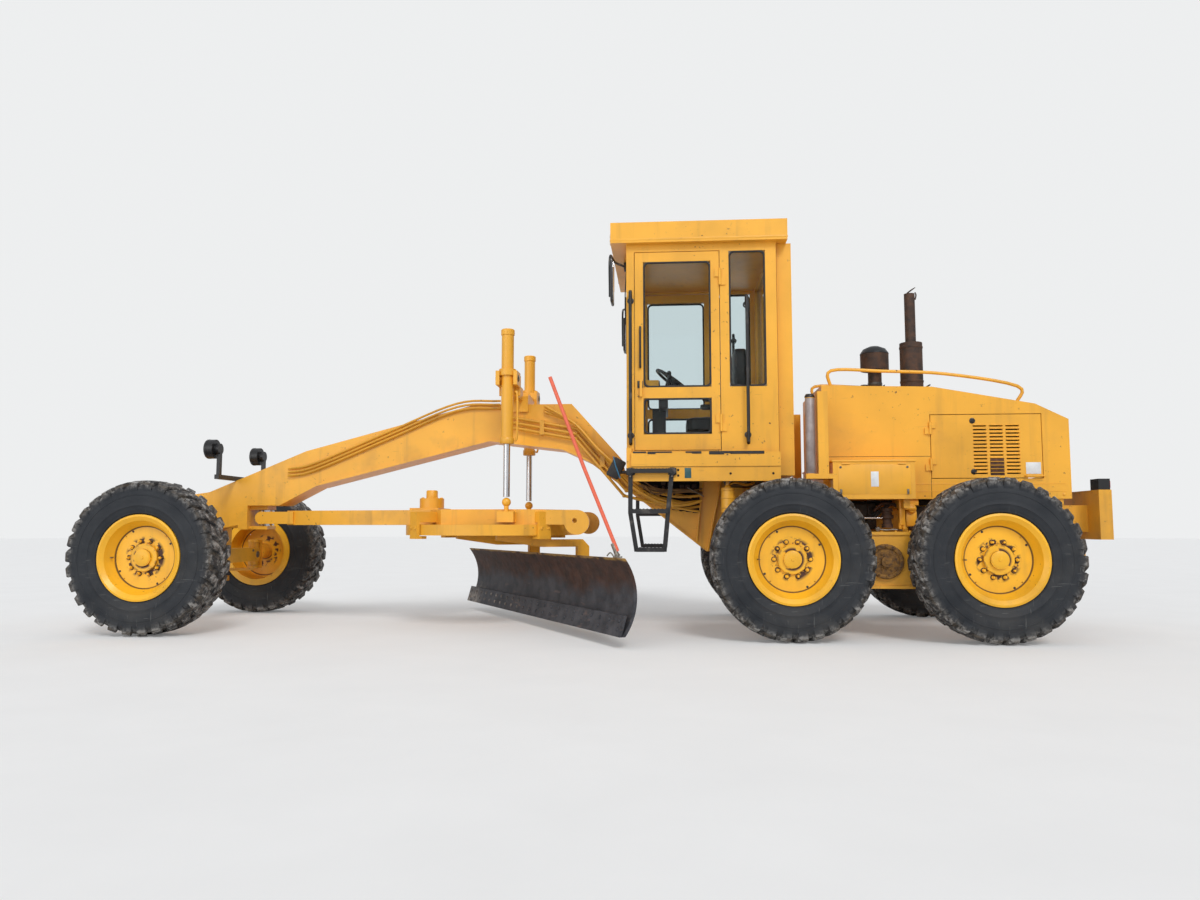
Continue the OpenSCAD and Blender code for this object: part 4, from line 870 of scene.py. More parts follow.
class GRADER_OT_hood_trim(Workshop, bpy.types.Operator):
    """Louvre blades, seams, locks, labels and rails of the hood"""
    bl_idname = "grader.hood_trim"
    bl_label = "Hood trim"

    # The hood's top is level to its break and slopes down behind it
    TOP_Z, BREAK_X, SLOPE = 2.05, -0.48, math.radians(10.4)

    def make(self, scene):
        for side in SIDES:
            self.door(side)
            self.rail(side)
        with Piece("filler_caps", "black", "rear", "black_paint") as caps:
            caps.lathe([(0, 0.05), (0.035, 0.05), (0.045, 0.042), (0.048, 0.010), (0.060, 0.004),
                        (0.060, -0.01)], (0.18, 0.0, 2.046), UP, 28)
            caps.lathe([(0, 0.04), (0.028, 0.04), (0.034, 0.032), (0.034, -0.01)], (0.02, 0.30, 2.044), UP, 24)
        with Piece("hood_seams", "dark", "rear", "black_paint") as seams:
            for _ in seams.mirrored():
                inner, outer = HOOD_FACE - 0.0005, HOOD_FACE + 0.0007
                seams.slab((-0.453, inner, 1.449), (0.406, outer, 1.4525), 0.0005)
                seams.slab((-0.4545, inner, 1.110), (-0.4510, outer, 1.268), 0.0005)
            for x in (-0.10, -0.47, -1.02):
                level = x > self.BREAK_X
                z = self.TOP_Z if level else self.TOP_Z - 0.02 + (x - self.BREAK_X) * 0.183
                seams.slab((x - 0.003, -0.515, z - 0.009), (x + 0.003, 0.515, z + 0.0015), 0.001,
                           tilted(-1.3 if level else -math.degrees(self.SLOPE)))

    def door(self, side):
        body = f"engine_door_{side.name}"
        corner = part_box(body)[0]
        x0, z0 = corner.x + MID_X, corner.z
        face = HOOD_FACE
        with Piece("louvre_blades", "body", body, "yellow_paint", side) as blades:
            # The right door's blades sit 10 mm further in than the left's
            y = face + 0.005 * side.sign
            for column in range(3):
                for row in range(14):
                    x, z = x0 + 0.173 + column * 0.130, z0 + 0.042 + row * 0.030
                    blades.slab((x, y - 0.006, z), (x + 0.109, y + 0.006, z + 0.0025), 0.001,
                                tilted(-24 * side.sign, "X"))
        with Piece("rusted_plate", "rust", body, "yellow_paint", side) as plate:
            plate.slab((x0 + 0.302, face + 0.0005, z0 + 0.02), (x0 + 0.413, face + 0.0025, z0 + 0.16), 0.001)
        with Piece("door_locks", "black", body, "black_paint", side) as locks:
            for z in (z0 + 0.05, z0 + 0.47):
                locks.lathe([(0, 0.012), (0.010, 0.012), (0.013, 0.009), (0.022, 0.006), (0.024, 0.0003),
                             (0, 0.0003)], (x0 + 0.545, face, z), ACROSS, 24)
        with Piece("door_grip", "body", body, "yellow_paint", side) as grip:
            z, near, far = z0 + 0.014, x0 + 0.005, x0 + 0.135
            grip.tube([(near, face, z), (near, face + 0.030, z), (far, face + 0.030, z), (far, face, z)], 0.006,
                      steps=5)
        with Piece("blank_plate", "white", body, "yellow_paint", side) as plate:
            plate.slab((x0 + 0.014, face + 0.0004, z0 + 0.030), (x0 + 0.132, face + 0.0014, z0 + 0.125), 0.0004)

    def rail(self, side):
        with Piece("hood_rail", "body", "rear", "yellow_paint", side) as rail:
            for z in (1.16, 1.22):
                rail.slab((-1.52, HOOD_FACE, z), (0.38, HOOD_FACE + 0.0025, z + 0.004), 0.001)
            for x in (-1.50, -1.10, -0.70, -0.30, 0.10, 0.36):
                rail.nut((x, HOOD_FACE, 1.135), ACROSS, 0.009, 0.008)
            rail.tube([(-1.20, 0.40, 1.90), (-1.20, 0.43, 2.04), (-0.62, 0.43, 2.15), (-0.10, 0.43, 2.18),
                       (0.32, 0.43, 2.19), (0.32, 0.40, 2.045)], 0.014, steps=5)


class GRADER_OT_box_trim(Workshop, bpy.types.Operator):
    """Lids, catches and hinges of the side boxes, and the grey tube beside them"""
    bl_idname = "grader.box_trim"
    bl_label = "Side box trim"

    TUBE_X, TUBE_Y = 0.556, 0.758

    def make(self, scene):
        face = BOX_FACE
        for side in SIDES:
            with Piece("box_lid", "body", "rear", "yellow_paint", side) as lid:
                lid.slab((-0.262, 0.530, 1.388), (0.400, face + 0.008, 1.402), 0.004)
                lid.slab((-0.215, face, 1.130), (0.350, face + 0.003, 1.365), 0.0015)
                for x in (-0.15, 0.29):
                    lid.tube([(x + dx, face + 0.006, 1.372) for dx in (-0.03, 0.03)], 0.006, bend=False)
            with Piece("box_label", "white", "rear", "yellow_paint", side) as label:
                label.slab((0.035, face + 0.0034, 1.19), (0.095, face + 0.0044, 1.31), 0.0004)
            with Piece("box_catches", "zinc", "rear", "black_paint", side) as catches:
                for x in (-0.19, 0.33):
                    catches.slab((x - 0.008, face + 0.003, 1.13), (x + 0.008, face + 0.012, 1.17), 0.002)
                    catches.nut((x, face + 0.003, 1.345), ACROSS, 0.007, 0.006)
        with Piece("grey_tube", "tube", "rear", "bright_steel") as tube:
            tube.lathe([(0.0362, 0.002), (0.0375, 0.004), (0.0375, 0.610), (0.0362, 0.612)],
                       (self.TUBE_X, self.TUBE_Y, 1.296), UP, 40, closed=True)
        with Piece("tube_cap", "black", "rear", "black_paint") as cap:
            cap.lathe([(0, 0.03), (0.030, 0.028), (0.040, 0.012), (0.040, 0), (0, 0)],
                      (self.TUBE_X, self.TUBE_Y, 1.914), UP, 32)


class GRADER_OT_stack_trim(Workshop, bpy.types.Operator):
    """Bands and rain flap of the exhaust, and the air cleaner's cap"""
    bl_idname = "grader.stack_trim"
    bl_label = "Exhaust trim"

    def make(self, scene):
        with Piece("stack_flap", "stack", "rear", "black_paint") as flap:
            x, y = -0.420, 0.150
            for z in (2.12, 2.42):
                flap.lathe([(0.0952, 0), (0.0985, 0.003), (0.0985, 0.017), (0.0952, 0.020)], (x, y, z), UP, 48,
                           closed=True)
            flap.lathe([(0, 0), (0.052, 0), (0.054, 0.004), (0.030, 0.008), (0, 0.009)], (x - 0.01, y, 2.935),
                       tilted(35) @ UP, 32)
            flap.tube([(x - 0.050, y, 2.86), (x - 0.058, y, 2.90), (x - 0.050, y, 2.925)], 0.006, 8)
        with Piece("cleaner_cap", "black", "rear", "black_paint") as cap:
            x, y = -0.180, -0.180
            cap.lathe([(0.062, 0), (0.064, 0.004), (0.064, 0.025), (0.062, 0.028)], (x, y, 2.15), UP, 32,
                      closed=True)
            cap.lathe([(0, 0.075), (0.045, 0.070), (0.100, 0.045), (0.124, 0.010), (0.128, 0), (0, 0)],
                      (x, y, 2.441), UP, 48)


class GRADER_OT_tail_trim(Workshop, bpy.types.Operator):
    """Tail lenses, bumper bolts and the towing pin"""
    bl_idname = "grader.tail_trim"
    bl_label = "Tail trim"

    def make(self, scene):
        tail = -1.850
        with Piece("tail_lenses", "red_lamp", "rear", "black_paint") as lenses:
            for _ in lenses.mirrored():
                lenses.slab((tail - 0.012, 0.415, 1.185), (tail, 0.525, 1.245), 0.005)
        with Piece("tail_bolts", "zinc", "rear", "bright_steel") as bolts:
            for y in (-0.46, -0.30, 0.30, 0.46):
                for z in (0.83, 1.10):
                    bolts.nut((tail, y, z), -ALONG, 0.014, 0.012)
            for y in (-0.075, 0.062):
                bolts.lathe([(0, 0), (0.030, 0), (0.030, 0.010), (0.020, 0.013), (0, 0.013)],
                            (tail + 0.05, y, 0.69), ACROSS, 28)


class GRADER_OT_cab_trim(Workshop, bpy.types.Operator):
    """Window rubbers, gutters, grips, mirrors and wipers of the cab"""
    bl_idname = "grader.cab_trim"
    bl_label = "Cab trim"

    FRONT_X, REAR_X, TOP_Z = 2.034, 0.806, 3.153

    def make(self, scene):
        with Piece("window_rubbers", "rubber", "front", "black_paint") as rubbers:
            for sign in rubbers.mirrored():
                near, far = (0.197, 0.623)[::sign]
                rubbers.bead((0.897, PANE_Y, 2.027), (1.183, PANE_Y, self.TOP_Z))
                rubbers.bead((self.FRONT_X, near, 1.647), (self.FRONT_X, far, 2.073))
            rubbers.bead((self.FRONT_X, -0.623, 2.167), (self.FRONT_X, 0.623, self.TOP_Z))
            rubbers.bead((self.REAR_X, -0.603, 2.127), (self.REAR_X, 0.603, self.TOP_Z))
        for side in SIDES:
            self.door(side)
            self.outside(side)
        with Piece("wipers", "rubber", "front", "black_paint") as wipers:
            x = 2.062
            for y0, y1 in ((-0.25, -0.02), (0.20, 0.43)):
                wipers.tube([(x, y0, 3.19), (x + 0.008, (y0 + y1) / 2, 2.90), (x, y1, 2.62)], 0.005, 8)
                wipers.slab((2.045, y1 - 0.006, 2.36), (2.060, y1 + 0.006, 2.86), 0.002)
                wipers.slab((2.040, y0 - 0.05, 3.165), (2.085, y0 + 0.05, 3.225), 0.006)
        self.roof()

    def door(self, side):
        body = f"cab_door_{side.name}"
        with Piece("door_rubbers", "rubber", body, "black_paint", side) as rubbers:
            rubbers.bead((1.347, PANE_Y, 2.027), (1.893, PANE_Y, 3.073))
            rubbers.bead((1.347, PANE_Y, 1.637), (1.893, PANE_Y, 1.923))
        with Piece("door_grip_bar", "black", body, "black_paint", side) as grip:
            x, y = 1.925, 0.754
            grip.tube([(x, CAB_FACE, 2.20), (x, y, 2.21), (x, y, 2.50), (x, CAB_FACE, 2.51)], 0.009, steps=5)
            grip.slab((1.905, CAB_FACE, 2.015), (1.950, CAB_FACE + 0.008, 2.075), 0.003)

    def outside(self, side):
        with Piece("grab_rails", "black", "front", "black_paint", side) as rails:
            y = 0.785
            for x, wall, low, high in ((1.05, CAB_FACE, 1.62, 2.70), (2.005, CAB_FACE - 0.001, 1.62, 2.75)):
                rails.tube([(x, wall, low), (x, y, low + 0.01), (x, y, high - 0.01), (x, wall, high)],
                           0.014, 12, steps=5)
                for z in (low, high):
                    rails.lathe([(0.0145, 0), (0.028, 0), (0.028, 0.004), (0.0145, 0.006)],
                                (x, wall, z), ACROSS, 20, closed=True)
        with Piece("mirror_shell", "black", "front", "black_paint", side) as shell:
            shell.tube([(2.045, 0.690, 3.05), (2.13, 0.80, 3.06), (2.16, 0.97, 3.05), (2.16, 0.985, 2.72)],
                       0.010)
            shell.slab((2.130, 0.905, 2.66), (2.152, 1.075, 3.00), 0.008)
        with Piece("mirror_face", "mirror", "front", "bright_steel", side) as face:
            face.slab((2.1275, 0.915, 2.675), (2.1305, 1.065, 2.985), 0.001)

    def roof(self):
        with Piece("roof_gutter", "body", "front", "yellow_paint") as gutter:
            x0, x1, y, z = 0.715, 2.165, 0.775, 3.255
            gutter.tube([(x0, -y, z), (x0, y, z), (x1, y, z), (x1, -y, z)], 0.012, 8, closed=True, steps=1)
            for x in (0.95, 1.25, 1.55, 1.85):
                gutter.slab((x - 0.06, -0.62, 3.4035), (x + 0.06, 0.62, 3.4115), 0.0035)
        with Piece("roof_lamps", "lamp", "front", "black_paint") as lamps:
            for _ in lamps.mirrored():
                for x, face in ((2.170, ALONG), (0.710, -ALONG)):
                    lamps.lathe([(0, 0.018), (0.046, 0.014), (0.050, 0.006), (0.050, 0)],
                                (x, 0.60, 3.315), face, 30)


class GRADER_OT_seat(Workshop, bpy.types.Operator):
    """The driver's seat: padded cushions and arm rests on a sprung stand"""
    bl_idname = "grader.seat"
    bl_label = "Seat"

    # Which way a pad lies: the axis its channels run across, and the axis that its face looks along
    FLAT, UPRIGHT = (0, 2), (2, 0)

    def cushion(self, name, low, high, crown, channels, lie, fill, side=None):
        """A crowned pad with sewn channels across it."""
        low, high = Vector(low), Vector(high)
        length_axis, face_axis = lie
        half = (high - low) / 2
        with Piece(name, "vinyl", "front", "seat_vinyl", side, 60) as pad:
            middle = pad.spot((low + high) / 2)
            bmesh.ops.create_cube(pad.bm, size=2.0)
            bmesh.ops.subdivide_edges(pad.bm, edges=pad.bm.edges[:], cuts=22, use_grid_fill=True)
            for v in pad.bm.verts:
                p = v.co.copy()
                top = p[face_axis]
                p = p / sum(abs(part) ** 7 for part in p) ** (1 / 7)
                across = p[length_axis]
                swell = (1 - across ** 2) * (1 - p.y ** 2)
                groove = sum(math.exp(-((across - c) / 0.035) ** 2) for c in channels)
                groove += math.exp(-((abs(p.y) - 0.62) / 0.03) ** 2)
                if top > 0.2:
                    rise = crown * swell - 0.035 * groove * min(1.0, swell * 3)
                    p[face_axis] += rise / half[face_axis] * 0.3
                v.co = Vector([p[i] * half[i] for i in range(3)]) + middle

    def make(self, scene):
        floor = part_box("seat")[0].z
        self.cushion("seat_cushion", (1.06, -0.25, floor + 0.30), (1.54, 0.25, floor + 0.43), 0.05,
                     (-0.4, 0.05, 0.5), self.FLAT, 0.6)
        self.cushion("seat_back", (1.00, -0.24, floor + 0.43), (1.12, 0.24, floor + 1.048), 0.05,
                     (-0.5, -0.1, 0.3), self.UPRIGHT, 0.6)
        with Piece("seat_stand", "rubber", "front", "seat_vinyl", stands_for=("seat",)) as stand:
            stand.slab((1.12, -0.17, floor + 0.001), (1.44, 0.17, floor + 0.045), 0.008)
            for i in range(5):
                z = floor + 0.045 + i * 0.042
                grow = 0.0 if i % 2 else 0.018
                stand.slab((1.15 - grow, -0.14 - grow, z), (1.41 + grow, 0.14 + grow, z + 0.042), 0.012)
            stand.slab((1.09, -0.21, floor + 0.255), (1.50, 0.21, floor + 0.302), 0.010)
            for _ in stand.mirrored():
                stand.tube([(1.09, 0.235, floor + 0.33), (1.08, 0.262, floor + 0.45),
                            (1.09, 0.272, floor + 0.56)], 0.012)
        for side in SIDES:
            self.cushion("arm_rest", (1.08, 0.248, floor + 0.56), (1.40, 0.300, floor + 0.61), 0.01, (),
                         self.FLAT, 0.8, side)


class GRADER_OT_controls(Workshop, bpy.types.Operator):
    """Knobs, dials and pedals at the console"""
    bl_idname = "grader.controls"
    bl_label = "Controls"

    def make(self, scene):
        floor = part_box("console")[0].z
        with Piece("lever_knobs", "rubber", "front", "black_paint") as knobs:
            for i in range(-6, 7):
                if abs(i) > 2:
                    knobs.lathe([(0, -0.006), (0.010, -0.004), (0.019, 0.010), (0.019, 0.022), (0.010, 0.034),
                                 (0, 0.036)], (1.688, i * 0.045, floor + 0.80), UP, 18)
            for y in (-0.18, 0.18):
                knobs.slab((1.86, y - 0.045, floor + 0.05), (1.90, y + 0.045, floor + 0.16), 0.006, tilted(-35))
                knobs.tube([(1.90, y, floor + 0.002), (1.895, y, floor + 0.09)], 0.010, 8, bend=False)
        with Piece("dials", "dash", "front", "black_paint") as dials:
            for y in (-0.20, -0.10, 0.0, 0.10, 0.20):
                dials.lathe([(0, 0.004), (0.036, 0.004), (0.040, 0.010), (0.044, 0.008), (0.044, 0)],
                            (1.780, y, 2.115), -ALONG, 28)


class GRADER_OT_platform_trim(Workshop, bpy.types.Operator):
    """Torn mat edge, blank label, bolts, a painted shadow line under the sill strip, rubber pad and strap at
    the platform
    """
    bl_idname = "grader.platform_trim"
    bl_label = "Platform trim"

    MAT_FROM, MAT_TO, MAT_Z = 0.93, 1.985, 1.481

    def make(self, scene):
        chance = random.Random(5)
        for side in SIDES:
            with Piece("mat_edge", "rubber", "front", "black_paint", side) as mat:
                x = self.MAT_FROM
                while x < self.MAT_TO - 0.025:
                    run, drop = chance.uniform(0.05, 0.16), chance.uniform(0.006, 0.026)
                    end = min(x + run, self.MAT_TO)
                    mat.slab((x, 0.772, self.MAT_Z - 0.0058), (end, 0.812 + drop * 0.2, self.MAT_Z), 0.002)
                    mat.slab((x, 0.8103, self.MAT_Z - 0.003 - drop), (end, 0.8145, self.MAT_Z), 0.0015)
                    x += run + (chance.uniform(0.01, 0.12) if chance.random() < 0.35 else -0.002)
            with Piece("teal_plate", "teal", "front", "yellow_paint", side) as plate:
                plate.slab((1.515, SILL_FACE + 0.0003, 1.264), (1.568, SILL_FACE + 0.0012, 1.347), 0.0003)
            with Piece("platform_bolts", "dark", "front", "black_paint", side) as bolts:
                for x, z in ((1.62, 1.33), (1.62, 1.285), (0.86, 1.30), (1.20, 1.30)):
                    bolts.nut((x, SILL_FACE, z), ACROSS, 0.007, 0.006)
                # A dark line along the sill below the upper strip: painted shadow of the strip's lip
                bolts.slab((0.80, SILL_FACE - 0.0005, 1.3572), (2.0, SILL_FACE + 0.0012, 1.3612), 0.0006)
        with Piece("rubber_pad", "rubber", "front", "black_paint") as pad:
            pad.slab((2.09, 0.40, 1.285), (2.20, 0.455, 1.455), 0.012, tilted(-28))
            pad.slab((2.00, 0.30, 1.33), (2.12, 0.44, 1.35), 0.004)
        with Piece("blue_strap", "strap", "front", "black_paint") as strap:
            strap.tube([(2.165, 0.4585, 1.47), (2.150, 0.461, 1.40), (2.125, 0.461, 1.33),
                        (2.11, 0.4585, 1.285)], 0.006, 8)


class GRADER_OT_ladder_trim(Workshop, bpy.types.Operator):
    """Bolts and ribbed treads of the ladders"""
    bl_idname = "grader.ladder_trim"
    bl_label = "Ladder trim"

    STILES, BOLTS = (2.005, 1.668), (1.278, 1.338)
    # Height and both ends of each step
    STEPS = ((0.672, 1.735, 1.958), (0.980, 1.705, 2.008), (1.305, 1.668, 2.005))
    PITCH = 0.03

    def make(self, scene):
        for side in SIDES:
            with Piece("ladder_bolts", "black", "front", "black_paint", side) as bolts:
                for x in self.STILES:
                    bolts.lathe([(0, 0.030), (0.028, 0.028), (0.034, 0.022), (0.034, 0)], (x, 0.812, 1.315),
                                ACROSS, 26)
                    for z in self.BOLTS:
                        bolts.lathe([(0, 0.012), (0.009, 0.012), (0.009, 0)], (x + 0.002, 0.8225, z), ACROSS, 6)
                for z, x0, x1 in self.STEPS:
                    for k in range(int((x1 - x0) / self.PITCH)):
                        bolts.lathe([(0, 0.004), (0.006, 0.004), (0.009, 0)],
                                    (x0 + (k + 0.5) * self.PITCH, 0.833, z + 0.034), UP, 8)
            with Piece("ladder_nuts", "zinc", "front", "bright_steel", side) as nuts:
                for x in self.STILES:
                    for z in self.BOLTS:
                        nuts.nut((x + 0.002, 0.8343, z), ACROSS, 0.0075, 0.006, washer=False)


class GRADER_OT_hoses(Workshop, bpy.types.Operator):
    """Painted pipes along the gooseneck and under the platform"""
    bl_idname = "grader.hoses"
    bl_label = "Pipes"

    # Lower edge of the painted shadow plate on the neck, and the strut's edges from foot to head: stations and
    # heights
    SHADOW = ((1.430, 0.990), (1.670, 1.025), (1.850, 1.100), (1.985, 1.225))
    STRUT = (((1.459, 0.745), (1.400, 1.2785)), ((1.366, 0.668), (1.241, 1.2785)))
    PLATFORM_Z = 1.2785
    CANISTER_X, CANISTER_Y = 1.215, 0.660

    def make(self, scene):
        with Piece("painted_pipes", "pipe", "front", "yellow_paint") as pipes:
            for _ in pipes.mirrored():
                self.painted(pipes)
        self.recess()
        with Piece("nose_pipes", "pipe", "front", "yellow_paint") as pipes:
            for _ in pipes.mirrored():
                for i in range(3):
                    y, z = 0.176, 2.0 - 0.032 * i
                    pipes.tube([(3.20, y, z), (3.60, y, z - 0.02), (4.20, y, z - 0.26), (4.90, y, z - 0.55),
                                (5.15, y, z - 0.60)], 0.010, 8)
        with Piece("platform_underside", "iron", "front", "engine_grey") as ribs:
            for x in (1.05, 1.22, 1.42, 1.62, 1.80):
                ribs.slab((x - 0.07, -0.60, 1.285), (x + 0.06, 0.60, 1.352), 0.010)
            ribs.slab((0.90, -0.46, 1.22), (1.18, 0.46, 1.345), 0.02)

    def painted(self, pipes):
        for i in range(3):
            y = 0.215 + 0.032 * i
            pipes.tube([(1.42, y, 1.05 + 0.045 * i), (1.66, y + 0.01, 1.035 + 0.050 * i),
                        (1.92, y, 1.15 + 0.035 * i), (2.12, y - 0.01, 1.345 + 0.02 * i), (2.32, y - 0.02, 1.56),
                        (2.52, y - 0.03, 1.78), (2.80, 0.180 + 0.01 * i, 1.90 + 0.025 * i)], 0.0115)
        pipes.tube([(2.044, 0.34, 1.240), (1.923, 0.36, 1.159), (1.796, 0.37, 1.093), (1.672, 0.37, 1.060),
                    (1.555, 0.36, 1.060), (1.420, 0.34, 1.093)], 0.0145, 12)
        pipes.tube([(1.658, 0.33, 1.052), (1.550, 0.32, 1.020), (1.432, 0.30, 1.002)], 0.010)
        pipes.tube([(1.699, 0.50, 1.189), (1.684, 0.50, 1.110), (1.663, 0.50, 1.031)], 0.008, 8)
        pipes.tube([(1.235, 0.66, 1.19), (1.16, 0.62, 1.235), (1.05, 0.55, 1.22), (0.96, 0.42, 1.25)], 0.010)

    def recess(self):
        """The dark plate of painted shade on the neck, the valve spools and their tangle of lines under the
        platform.
        """
        chance = random.Random(11)
        for side in SIDES:
            # A near-black plate on the neck's side, seen between the pipes: painted shade of the recess under
            # the platform
            with Piece("oily_shadow", "dark", "front", "engine_grey", side) as shadow:
                for (x0, z0), (x1, z1) in zip(self.SHADOW, self.SHADOW[1:]):
                    for i in range(4):
                        x, z = x0 + (x1 - x0) * i / 4, z0 + (z1 - z0) * (i + 0.5) / 4
                        proud = 0.158 + 0.004 * (i % 2)
                        shadow.slab((x, 0.1503, z), (x + (x1 - x0) / 4, proud, self.PLATFORM_Z), 0.001)
            with Piece("valve_spools", "stack", "front", "engine_grey", side) as spools:
                for i in range(9):
                    x, z = 1.46 + 0.055 * i + chance.uniform(-0.01, 0.01), chance.uniform(1.170, 1.235)
                    spools.slab((x, 0.162, z), (x + 0.038, 0.245, z + chance.uniform(0.02, 0.04)), 0.004)
                    spools.lathe([(0, 0.02), (0.009, 0.018), (0.011, 0), (0.011, -0.03)],
                                 (x + 0.02, 0.26, z - 0.02), ACROSS, 12)
            with Piece("valve_lines", "line", "front", "yellow_paint", side) as lines:
                for i in range(4):
                    rise = [chance.uniform(-0.035, 0.035) for _ in range(4)]
                    y = 0.300 + 0.014 * i
                    lines.tube([(1.96 - 0.02 * i, y, 1.235 + rise[0]), (1.82, y, 1.185 + rise[1]),
                                (1.66, y, 1.170 + rise[2]), (1.53, y, 1.190 + rise[3]),
                                (1.41, y, 1.165 + rise[0])], chance.uniform(0.005, 0.009), 8)
            with Piece("bright_line", "zinc", "front", "bright_steel", side) as line:
                line.tube([(1.54, 0.43, 1.205), (1.40, 0.41, 1.128)], 0.004, 8, bend=False)
                line.tube([(1.216, 0.66, 1.225), (1.17, 0.66, 1.255), (1.06, 0.62, 1.245)], 0.011)
        with Piece("canister_bands", "frame", "front", "yellow_paint") as bands:
            for z in (1.020, 1.100, 1.165):
                bands.lathe([(0.0552, 0), (0.0585, 0.003), (0.0585, 0.013), (0.0552, 0.016)],
                            (self.CANISTER_X, self.CANISTER_Y, z), UP, 40, closed=True)
            bands.lathe([(0.030, 0), (0.026, 0.014), (0.0162, 0.022)],
                        (self.CANISTER_X, self.CANISTER_Y, 1.190), UP, 28)
        with Piece("strut_flanges", "frame", "front", "yellow_paint") as flanges:
            for _ in flanges.mirrored():
                for (foot_x, foot_z), (head_x, head_z) in self.STRUT:
                    run = Vector((head_x - foot_x, 0, head_z - foot_z))
                    middle = Vector(((foot_x + head_x) / 2, 0.204, (foot_z + head_z) / 2))
                    half = Vector((0.005, 0.024, run.length / 2))
                    turn = Matrix.Rotation(math.atan2(run.x, run.z), 3, "Y")
                    flanges.slab(middle - half, middle + half, 0.002, turn)


class GRADER_OT_blade_trim(Workshop, bpy.types.Operator):
    """Edge bolts and the marker pole of the blade"""
    bl_idname = "grader.blade_trim"
    bl_label = "Blade trim"

    CHORD_X = 0.300

    def point(self, x, y, z):
        """A point from the blade's own frame: forward of its chord, along it, above the ground."""
        x, y = x - self.CHORD_X, y + self.CHORD_X * math.tan(BLADE_TURN)
        c, s = math.cos(BLADE_TURN), math.sin(BLADE_TURN)
        return Vector((CIRCLE_X + x * c - y * s, x * s + y * c, z))

    def make(self, scene):
        out = (self.point(1, 0, 0.18) - self.point(0, 0, 0)).normalized()
        with Piece("edge_bolts", "blade", "blade", "blade_steel") as bolts:
            for i in range(23):
                for z, x in ((0.135, 0.0015), (0.195, -0.0155)):
                    bolts.lathe([(0, 0.007), (0.011, 0.006), (0.016, 0.001), (0.016, -0.004)],
                                self.point(x, -1.76 + i * 0.16, z), out, 14)
        foot = self.point(-0.075, 1.62, 0.645)
        tip = foot + Vector((0.52, -0.05, 1.37))
        with Piece("marker_pole", "pole", "blade", "yellow_paint") as pole:
            pole.tube([foot + UP * 0.045, foot.lerp(tip, 0.5), tip], 0.0145, 14, bend=False)
        with Piece("pole_socket", "zinc", "blade", "bright_steel") as socket:
            socket.slab(foot + Vector((-0.035, -0.022, -0.002)), foot + Vector((0.035, 0.022, 0.008)), 0.003)
            socket.lathe([(0, 0), (0.022, 0), (0.022, 0.012), (0.017, 0.022), (0.017, 0.10), (0.0146, 0.104)],
                         foot + UP * 0.006, tip - foot, 20)
            loop = ((0.03, 0.01), (0.055, 0.035), (0.08, 0.01))
            socket.tube([foot + Vector((x, 0, z)) for x, z in loop], 0.005, 8)


class GRADER_OT_circle_trim(Workshop, bpy.types.Operator):
    """Teeth of the circle, its drive and the shoes' bolts"""
    bl_idname = "grader.circle_trim"
    bl_label = "Circle trim"

    TEETH = 72

    def make(self, scene):
        centre = Vector((CIRCLE_X, 0, 0))
        with Piece("circle_teeth", "iron", "circle", "engine_grey") as teeth:
            half = Vector((0.012, 0.0125, 0.022))
            for i in range(self.TEETH):
                turn = tilted(360 * i / self.TEETH, "Z")
                spot = centre + turn @ Vector((0.590, 0, 0.825))
                teeth.slab(spot - half, spot + half, 0.004, turn)
        with Piece("drive_bolts", "frame", "drawbar", "yellow_paint") as bolts:
            for degrees in (45, 135, 225, 315):
                turn = tilted(degrees, "Z")
                for y in (-0.035, 0.035):
                    bolts.nut(centre + turn @ Vector((0.799, y, 0.86)), turn @ ALONG, 0.012, 0.011)
                    bolts.nut(centre + turn @ Vector((0.50, y, 1.0003)), UP, 0.014, 0.013)
            drive = centre + Vector((0.56, 0, 1.130))
            for step in around(8, 0.09, axis=UP):
                bolts.nut(drive + step, UP, 0.011, 0.010)
            bolts.lathe([(0, 0.075), (0.045, 0.075), (0.052, 0.065), (0.052, 0)], drive, UP, 32)


class GRADER_OT_cylinder_trim(Workshop, bpy.types.Operator):
    """Gland rings, end caps and feed pipes of the lift cylinders"""
    bl_idname = "grader.cylinder_trim"
    bl_label = "Cylinder trim"

    def make(self, scene):
        x, y = 3.060, 0.600
        for side in SIDES:
            with Piece("barrel_caps", "body", f"lift_barrel_{side.name}", "yellow_paint", side) as caps:
                caps.lathe([(0.030, 0), (0.056, 0.002), (0.060, 0.008), (0.060, 0.050), (0.056, 0.056),
                            (0.0525, 0.056)], (x, y, 1.568), UP)
                caps.lathe([(0.0525, 0), (0.058, 0.004), (0.058, 0.046), (0.050, 0.054), (0, 0.056)],
                           (x, y, 2.500), UP)
                caps.lathe([(0.0525, 0), (0.072, 0.003), (0.072, 0.058), (0.0525, 0.061)], (x, y, 2.150), UP)
                caps.tube([(x - 0.062, y, 1.60), (x - 0.085, y, 1.64), (x - 0.085, y, 1.98),
                           (x - 0.066, y, 2.02)], 0.009, steps=5)
            with Piece("lift_pins", "zinc", "front", "bright_steel", side) as pins:
                for way in (1, -1):
                    pins.lathe([(0, 0.010), (0.020, 0.009), (0.030, 0.004), (0.030, 0.0003), (0, 0.0003)],
                               (x + way * 0.092, y, 2.130), ALONG * way, 28)


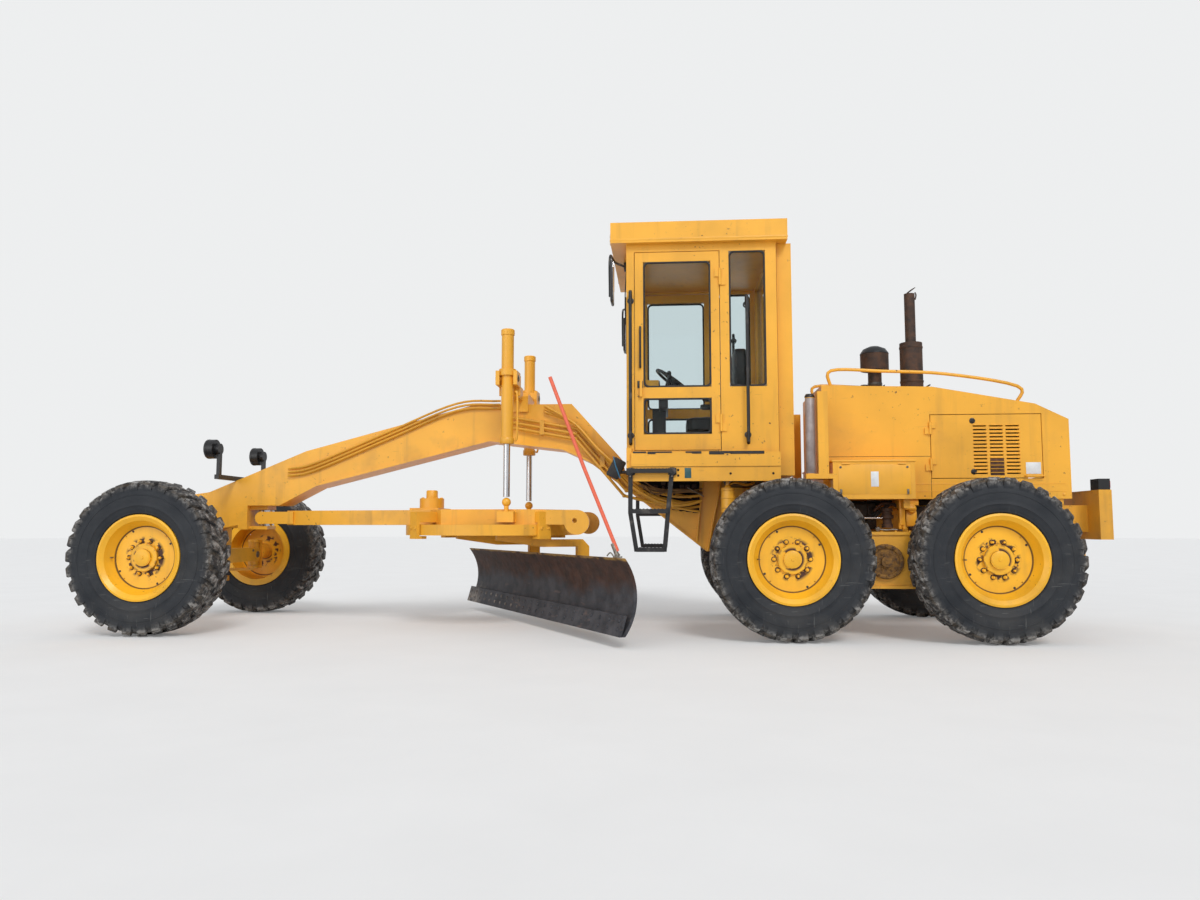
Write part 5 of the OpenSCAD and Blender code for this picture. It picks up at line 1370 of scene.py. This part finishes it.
class GRADER_OT_axle_trim(Workshop, bpy.types.Operator):
    """Pin caps of the front axle and the nose plate's bolts"""
    bl_idname = "grader.axle_trim"
    bl_label = "Axle trim"

    def make(self, scene):
        axle = WHEELS["front"]
        with Piece("axle_pins", "zinc", "front", "bright_steel") as pins:
            for _ in pins.mirrored():
                for way in (1, -1):
                    x = axle + way * 0.092
                    pins.lathe([(0, 0.012), (0.020, 0.011), (0.033, 0.004), (0.033, 0.0003), (0, 0.0003)],
                               (x, 0.700, 0.600), ALONG * way, 28)
                    pins.nut((x, 0.600, 0.640), ALONG * way, 0.010, 0.010)
            pins.lathe([(0, 0.02), (0.035, 0.018), (0.048, 0.006), (0.048, 0.0003), (0, 0.0003)],
                       (axle + 0.130, 0, 0.780), ALONG, 32)
        with Piece("nose_bolts", "frame", "front", "yellow_paint") as bolts:
            for y in (-0.30, -0.15, 0.0, 0.15, 0.30):
                bolts.nut((6.600, y, 0.83), ALONG, 0.011, 0.009)


class GRADER_OT_lamps(Workshop, bpy.types.Operator):
    """Head lamp lenses and their rings"""
    bl_idname = "grader.lamps"
    bl_label = "Head lamps"

    SPOT = (5.770, 0.430, 1.560)
    LENS = [(0, 0.016), (0.035, 0.014), (0.062, 0.008), (0.074, 0.0008), (0, 0.0005)]
    RING = [(0.074, 0), (0.076, 0.008), (0.083, 0.008), (0.0865, 0.002), (0.0865, -0.016), (0.0852, -0.016)]

    def make(self, scene):
        for name, finish, profile in (("head_lenses", "lamp", self.LENS), ("lamp_rings", "black", self.RING)):
            with Piece(name, finish, "front", "black_paint") as lamps:
                for _ in lamps.mirrored():
                    lamps.lathe(profile, self.SPOT, ALONG)


OPERATORS = (
    GRADER_OT_stage, GRADER_OT_finishes, GRADER_OT_tyres, GRADER_OT_wheel_trim, GRADER_OT_tandem_trim,
    GRADER_OT_driveline, GRADER_OT_hood_trim, GRADER_OT_box_trim, GRADER_OT_stack_trim, GRADER_OT_tail_trim,
    GRADER_OT_cab_trim, GRADER_OT_seat, GRADER_OT_controls, GRADER_OT_platform_trim, GRADER_OT_ladder_trim,
    GRADER_OT_hoses, GRADER_OT_blade_trim, GRADER_OT_circle_trim, GRADER_OT_cylinder_trim, GRADER_OT_axle_trim,
    GRADER_OT_lamps,
)
SETTINGS = {"grader_wheels": WheelSettings, "grader_paint": PaintSettings, "grader_stage": StageSettings}


class GRADER_PT_panel(bpy.types.Panel):
    """Lists the machine's pieces and settings"""
    bl_idname = "GRADER_PT_panel"
    bl_label = "Motor grader"
    bl_space_type = "VIEW_3D"
    bl_region_type = "UI"
    bl_category = "Grader"

    def draw(self, context):
        for name, group in SETTINGS.items():
            box = self.layout.box()
            for prop in group.__annotations__:
                box.prop(getattr(context.scene, name), prop)
        for operator in OPERATORS:
            self.layout.operator(operator.bl_idname)


CLASSES = (*SETTINGS.values(), *OPERATORS, GRADER_PT_panel)


def register():
    for cls in CLASSES:
        bpy.utils.register_class(cls)
    for name, group in SETTINGS.items():
        setattr(bpy.types.Scene, name, PointerProperty(type=group))


def unregister():
    for name in SETTINGS:
        delattr(bpy.types.Scene, name)
    for cls in reversed(CLASSES):
        bpy.utils.unregister_class(cls)


def main():
    register()
    for operator in OPERATORS:
        group, name = operator.bl_idname.split(".")
        getattr(getattr(bpy.ops, group), name)()


if __name__ == "__main__":
    main()
